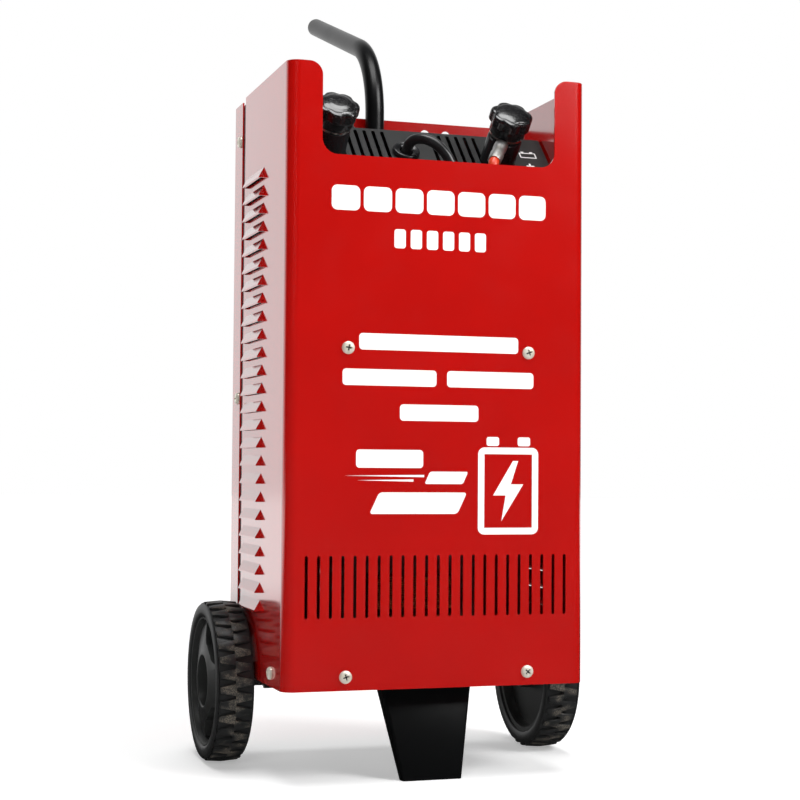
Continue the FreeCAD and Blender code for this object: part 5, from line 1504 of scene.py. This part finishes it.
@dataclass
class Clamp:
    """A stored battery clamp: two sprung arms with insulated grips and toothed jaws."""

    colour: str
    side: Side
    height: float
    flip: int
    grip: Finish
    length: float = 110.0
    pivot: float = 46.0
    width: float = 18.0
    y: float = 15.5
    reach: float = 40.0

    def place(self, sense: int) -> Matrix:
        """Local X towards the handles, local Y away from the closing plane, local Z across the width."""
        tip = Vector((self.side.value * (self.reach - self.length), self.y, self.height))
        along = X_AXIS * self.side.value
        away = Z_AXIS * (self.flip * sense)
        across = along.cross(away)
        return Matrix.Translation(tip) @ Matrix((along, away, across)).transposed().to_4x4()

    def build(self) -> list:
        """Both arms, each a steel jaw in an insulated grip."""
        pieces = []
        arms = ((1, "fixed", "case"), (-1, "moving", f"{self.colour}_jaw"))
        for sense, word, body in arms:
            node = f"{self.colour}_clamp_{word}_arm"
            jaw = self.jaw(sense, 0.0 if sense > 0 else 2.5)
            pieces.append(SHOP.piece(f"{self.colour}_{word}_jaw", jaw, ZINC, body, (node,)))
            grip = self.sleeve(sense)
            pieces.append(SHOP.piece(f"{self.colour}_{word}_grip", grip, self.grip, body))
        return pieces

    def jaw(self, sense: int, inset: float) -> Stock:
        """The steel arm: a U of sheet with teeth along its closing edge.

        Args:
            sense: 1 for the fixed arm and -1 for the moving one.
            inset: how far its cheeks stand in from the fixed arm's.

        Returns:
            The arm's stock.
        """
        stock = Stock()
        half = self.width / 2 - inset
        teeth = []
        for i in range(9):
            teeth += [(i * 2.4 + 0.2, 0.5), (i * 2.4 + 1.4, 1.7)]
        cheek = teeth + [(24.0, 1.0), (38.0, 4.0), (46.0, -7.0 if sense > 0 else -6.0), (54.0, 5.0),
                         (78.0, 11.0),
                         (78.0, 15.5), (46.0, 10.6), (22.0, 11.5), (2.0, 7.6), (0.2, 6.0)]
        if sense < 0:
            cheek = [(x, y if y > -1.0 else -6.0) for x, y in cheek]
        for sign in (-1.0, 1.0):
            low = sign * half - (1.4 if sign > 0 else 0.0)
            stock.plate(cheek, 1.4, self.place(sense) @ Matrix.Translation((0.0, 0.0, low)), 0.2, 1)
        stock.plate([(1.0, 6.6), (22.0, 10.5), (46.0, 9.6), (78.0, 14.2), (78.0, 15.5), (46.0, 10.9),
                     (22.0, 11.8),
                     (1.0, 8.0)], half * 2.0 - 0.4, self.place(sense) @ Matrix.Translation((0.0, 0.0,
                                                                                            -half + 0.2)))
        return stock

    def sleeve(self, sense: int) -> Stock:
        """The grip: a ribbed sleeve over the arm's handle end."""
        stock = Stock()
        outline = [(66.0, 8.2), (84.0, 10.6), (110.0, 15.4), (110.0, 26.4), (96.0, 24.4), (74.0, 18.4),
                   (66.0, 16.2)]
        half = self.width / 2
        stock.plate(outline, self.width, self.place(sense) @ Matrix.Translation((0.0, 0.0, -half)), 2.2, 3)
        for i in range(5):
            x = 76.0 + i * 6.0
            y = 18.9 + i * 1.55
            stock.block((x - 1.0, y - 2.0, -half + 1.6), (x + 1.0, y + 0.7, half - 1.6), self.place(sense),
                        0.5)
        return stock

    @property
    def lead_end(self) -> Vector:
        """Where the lead goes into the fixed arm."""
        return Vector((self.side.value * self.reach, self.y, self.height + self.flip * 20.5))


@dataclass
class Lead:
    """A battery lead: from its terminal into a stored coil and on to its clamp."""

    colour: str
    side: Side
    finish: Finish
    route: list
    exit: Vector
    last_angle: float
    clamp: Clamp
    extra_pieces: list = field(default_factory=list)
    diameter: float = 10.0
    coil_y: float = 44.0
    coil_z: float = 368.9
    coil_x: float = 64.0

    def coil_point(self, wind: float) -> Vector:
        """A control point of the coil.

        Args:
            wind: degrees wound so far, clockwise from the coil's right-hand side.

        Returns:
            The point in case millimetres.
        """
        stops = ((0.0, 55.0, 49.0), (285.0, 55.0, 49.0), (345.0, 45.0, 49.0), (600.0, 45.0, 49.0),
                 (660.0, 45.0, 39.0),
                 (915.0, 45.0, 39.0), (990.0, 55.0, 39.0), (1500.0, 55.0, 39.0))
        for (w0, r0, y0), (w1, r1, y1) in zip(stops, stops[1:]):
            if w0 <= wind <= w1:
                share = (wind - w0) / (w1 - w0)
                radius = (r0 + (r1 - r0) * share) / math.cos(math.radians(15.0))
                depth = y0 + (y1 - y0) * share
        angle = math.radians(-wind)
        return Vector((self.side.value * self.coil_x + radius * math.cos(angle), depth,
                       self.coil_z + radius * math.sin(angle)))

    def points(self) -> list:
        """The whole route: down from the terminal, round the coil, and to the clamp."""
        points = list(self.route)
        wind = 36.0
        while wind < self.last_angle - 18.0:
            points.append(self.coil_point(wind))
            wind += 30.0
        corner = 59.53
        for i in range(4):
            angle = math.radians(-self.last_angle - 45.0 * i)
            centre_x = self.side.value * self.coil_x
            points.append(Vector((centre_x + corner * math.cos(angle), 40.0 - 23.0 / 3.0 * i,
                                  self.coil_z + corner * math.sin(angle))))
        end = self.clamp.lead_end
        outward = X_AXIS * self.side.value
        points += [end + outward * 20.0, end - outward * 9.0]
        return points

    def build(self, length: float) -> bpy.types.Object:
        """The cord and its tie.

        Args:
            length: its real length in metres; not used.

        Returns:
            The cord.
        """
        name = f"{self.colour}_battery_lead"
        curve = bpy.data.curves.new(name, "CURVE")
        curve.dimensions = "3D"
        curve.resolution_u = 8
        curve.bevel_depth = self.diameter / 2000.0
        curve.bevel_resolution = 6
        spline = curve.splines.new("NURBS")
        points = [CASE.matrix() @ p for p in self.points()]
        spline.points.add(len(points) - 1)
        for spot, point in zip(spline.points, points):
            spot.co = (*point, 1.0)
        spline.order_u = 3
        spline.use_endpoint_u = True
        obj = bpy.data.objects.new(name, curve)
        bpy.context.scene.collection.objects.link(obj)
        SHOP.dress(obj, self.finish)
        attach(obj, "case")
        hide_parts(f"{self.colour}_lead", f"{self.colour}_coil", f"{self.colour}_tail")
        clamp_pieces = self.clamp.build()
        CASE.matrix() @ self.exit
        self.diameter / 1000.0
        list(self.extra_pieces)
        self.tie()
        LOG.info("%s: %d route points", name, len(points))
        return obj

    def tie(self) -> bpy.types.Object:
        """A strap round the coil's turns."""
        stock = Stock()
        x = self.side.value * (self.coil_x + 50.0)
        verts = stock.block((x - 10.9, self.coil_y - 10.9, self.coil_z - 6.0),
                            (x + 10.9, self.coil_y + 10.9, self.coil_z + 6.0))
        corners = [e for v in verts for e in v.link_edges if abs(e.verts[0].co.z - e.verts[1].co.z) > 5.0]
        stock.round(list(set(corners)), 4.8, 5)
        ends = [f for f in stock.bm.faces if abs(f.normal.z) > 0.9]
        bmesh.ops.delete(stock.bm, geom=ends, context="FACES_ONLY")
        bmesh.ops.recalc_face_normals(stock.bm, faces=stock.bm.faces[:])
        outward = sum(((f.calc_center_median() - Vector((x, self.coil_y, self.coil_z))).dot(f.normal)
                       for f in stock.bm.faces), 0.0)
        if outward < 0.0:
            bmesh.ops.reverse_faces(stock.bm, faces=stock.bm.faces[:])
        bmesh.ops.solidify(stock.bm, geom=stock.bm.faces[:], thickness=-1.0)
        return SHOP.piece(f"{self.colour}_lead_tie", stock, CONTROL)


@dataclass
class Leads:
    """Both battery leads."""

    def build(self) -> None:
        """Route each lead from its exit to its clamp."""
        gland = Gland()
        lug = RedLug()
        lug_piece = lug.build()
        gland.build()
        black_exit = gland.place(gland.height).translation
        black_clamp = Clamp("black", Side.LEFT, 402.9, 1, BLACK_GRIP)
        red_clamp = Clamp("red", Side.RIGHT, 337.9, -1, RED_GRIP)
        black = Lead("black", Side.LEFT, BLACK_CABLE,
                     [gland.place(-4.0).translation, black_exit, Vector((-5.0, 68.5, 500.5)),
                      Vector((6.0, 59.0, 500.5)), Vector((19.0, 52.0, 491.0)), Vector((29.0, 48.0, 474.0)),
                      Vector((31.0, 47.0, 452.0)), Vector((20.0, 49.0, 426.0)), Vector((3.0, 49.0, 402.0)),
                      Vector((-7.5, 49.0, 379.0)), Vector((-9.0, 49.0, 356.0))],
                     black_exit, 1192.5, black_clamp)
        black.build(1.43)
        red = Lead("red", Side.RIGHT, RED_CABLE,
                   [lug.exit - lug.direction * 22.0, lug.exit - lug.direction * 8.0,
                    lug.exit + lug.direction * 5.0,
                    Vector((59.0, 22.5, 457.0)),
                    Vector((66.0, 30.0, 436.0)), Vector((84.0, 40.0, 421.0)), Vector((104.0, 46.5, 407.0)),
                    Vector((116.0, 49.0, 386.0)), Vector((119.0, 49.0, 362.0))],
                   lug.exit, 1012.5, red_clamp, [lug_piece])
        red.build(1.23)


# ---------------------------------------------------------------- studio


@dataclass
class Studio:
    """Camera, floor and light."""

    spot: tuple = (-0.501, -1.64832, 0.2774)
    yaw: float = math.radians(17.98)
    pitch: float = math.radians(2.27)
    roll: float = math.radians(0.428)
    lens: float = 76.64
    sweep: float = 1.1
    sky_span: tuple = (0.3, 0.85)
    sky_dark: float = 0.006
    floor_radius: float = 14.0
    floor_glow_span: tuple = (0.7, 3.0)
    floor_mirror_span: tuple = (0.35, 2.4)

    def camera(self) -> None:
        """A long lens, low and to the left, looking slightly up."""
        data = bpy.data.cameras.new("view")
        data.lens = self.lens
        data.sensor_width = 36.0
        data.clip_start = 0.05
        data.clip_end = 50.0
        obj = bpy.data.objects.new("view", data)
        bpy.context.scene.collection.objects.link(obj)
        ahead = Vector((math.sin(self.yaw) * math.cos(self.pitch), math.cos(self.yaw) * math.cos(self.pitch),
                        math.sin(self.pitch)))
        right = Vector((math.cos(self.yaw), -math.sin(self.yaw), 0.0))
        up = right.cross(ahead)
        tilted_right = right * math.cos(self.roll) + up * math.sin(self.roll)
        tilted_up = up * math.cos(self.roll) - right * math.sin(self.roll)
        turn = Matrix((tilted_right, tilted_up, -ahead)).transposed().to_4x4()
        obj.matrix_world = Matrix.Translation(self.spot) @ turn
        bpy.context.scene.camera = obj
        bpy.context.scene.view_settings.view_transform = "Standard"

    def floor(self) -> None:
        """A pale floor that glows, less near the object and white further out, and shows glossy surfaces a
        painted reflection, dark in front and bright behind.
        """
        bm = bmesh.new()
        bmesh.ops.create_circle(bm, cap_ends=True, radius=self.floor_radius, segments=64)
        mesh = bpy.data.meshes.new("floor")
        bm.to_mesh(mesh)
        bm.free()
        obj = bpy.data.objects.new("floor", mesh)
        bpy.context.scene.collection.objects.link(obj)
        recipe = Recipe("pale_floor")
        across, along = recipe.axis(0), recipe.axis(1)
        reach = ((across * across + along * along) ** 0.5).held(*self.floor_glow_span)
        glow = recipe.blend(reach, (0.36, 0.36, 0.36), (1.0, 1.0, 1.0))
        recipe.tree.links.new(glow, recipe.shader.inputs["Emission Color"])
        recipe.fix(Base_Color=(0.86, 0.86, 0.86, 1.0), Roughness=0.9, Specular_IOR_Level=0.0,
                   Emission_Strength=1.0)
        # Painted reflection: glossy rays see this glowing sweep in place of the floor.
        sweep = recipe.blend(recipe.axis(1).held(*self.floor_mirror_span), (0.004, 0.004, 0.004),
                             (1.0, 1.0, 1.0))
        painted_reflection = recipe.add("ShaderNodeEmission", None, {"Color": sweep, "Strength": self.sweep})
        ray = recipe.add("ShaderNodeLightPath").outputs["Is Glossy Ray"]
        mixed = recipe.add("ShaderNodeMixShader", None,
                           {0: ray, 1: recipe.shader.outputs[0], 2: painted_reflection.outputs[0]})
        recipe.tree.links.new(mixed.outputs[0], recipe.output.inputs["Surface"])
        mesh.materials.append(recipe.material)

    def sky(self) -> None:
        """A bright white sweep behind the object, dark in front, white to the camera."""
        world = bpy.data.worlds.new("studio")
        bpy.context.scene.world = world
        world.use_nodes = True
        tree = world.node_tree
        tree.nodes.clear()

        def node(kind: str, **settings: object) -> bpy.types.Node:
            """Add a world node."""
            made = tree.nodes.new(kind)
            for name, value in settings.items():
                setattr(made, name, value)
            return made

        coords = node("ShaderNodeTexCoord")
        split = node("ShaderNodeSeparateXYZ")
        tree.links.new(coords.outputs["Generated"], split.inputs[0])
        sweep = node("ShaderNodeMapRange", interpolation_type="SMOOTHSTEP")
        sweep.inputs["From Min"].default_value = self.sky_span[0]
        sweep.inputs["From Max"].default_value = self.sky_span[1]
        sweep.inputs["To Min"].default_value = self.sky_dark
        sweep.inputs["To Max"].default_value = self.sweep
        tree.links.new(split.outputs["Y"], sweep.inputs["Value"])
        lit = node("ShaderNodeBackground")
        tree.links.new(sweep.outputs["Result"], lit.inputs["Strength"])
        plain = node("ShaderNodeBackground")
        plain.inputs["Strength"].default_value = 1.0
        plain.inputs["Color"].default_value = (1.0, 1.0, 1.0, 1.0)
        path = node("ShaderNodeLightPath")
        choose = node("ShaderNodeMixShader")
        tree.links.new(path.outputs["Is Camera Ray"], choose.inputs[0])
        tree.links.new(lit.outputs[0], choose.inputs[1])
        tree.links.new(plain.outputs[0], choose.inputs[2])
        out = node("ShaderNodeOutputWorld")
        tree.links.new(choose.outputs[0], out.inputs["Surface"])

    @staticmethod
    def lamp(name: str, spot: tuple, target: tuple, size: tuple, watts: float, mirrored: bool = True) -> None:
        """A soft box.

        Args:
            name: its name.
            spot: where it stands.
            target: what it points at.
            size: its width and height in metres.
            watts: its power.
            mirrored: whether it shows in glossy surfaces.
        """
        data = bpy.data.lights.new(name, "AREA")
        data.shape = "RECTANGLE"
        data.size, data.size_y = size
        data.energy = watts
        obj = bpy.data.objects.new(name, data)
        bpy.context.scene.collection.objects.link(obj)
        ray = Vector(target) - Vector(spot)
        obj.matrix_world = Matrix.Translation(spot) @ ray.to_track_quat("-Z", "Y").to_matrix().to_4x4()
        obj.visible_glossy = mirrored

    def light(self) -> None:
        """A large key from the front right, a strip on the left and a top light."""
        self.lamp("key", (1.15, -1.5, 1.6), (0.0, -0.1, 0.35), (1.0, 1.0), 34.0)
        self.lamp("fill", (-1.0, -1.9, 1.0), (0.0, -0.1, 0.4), (0.8, 0.8), 9.0, False)
        self.lamp("crown", (-0.02, -0.55, 1.95), (0.0, -0.2, 0.6), (1.1, 0.8), 17.0)
        self.lamp("top", (0.0, 0.3, 2.4), (0.0, 0.0, 0.5), (1.4, 1.0), 20.0, False)

    def build(self) -> None:
        """Set up the studio."""
        self.floor()
        self.sky()
        self.light()


def main() -> None:
    """Build every sub-assembly in order."""
    logging.basicConfig(level=logging.INFO, format="%(name)s: %(message)s")
    studio = Studio()
    studio.camera()
    Leads().build()
    Sheetwork().dress()
    Screws().build()
    for side in Side:
        RunningWheel(side).build()
    FrontFoot().build()
    Handle().build()
    posts = Stock()
    for side, lift in ((Side.LEFT, 28.2), (Side.RIGHT, 31.3)):
        terminal = Terminal(side, lift)
        terminal.post(posts)
        terminal.knob()
    SHOP.piece("terminal_insulators", posts, POST, replaces=("terminal_posts",), sharp=40.0)
    DeckControls().build()
    Printing().build()
    studio.build()
    LOG.info("%d new pieces", len(SHOP.made))


if __name__ == "__main__":
    main()
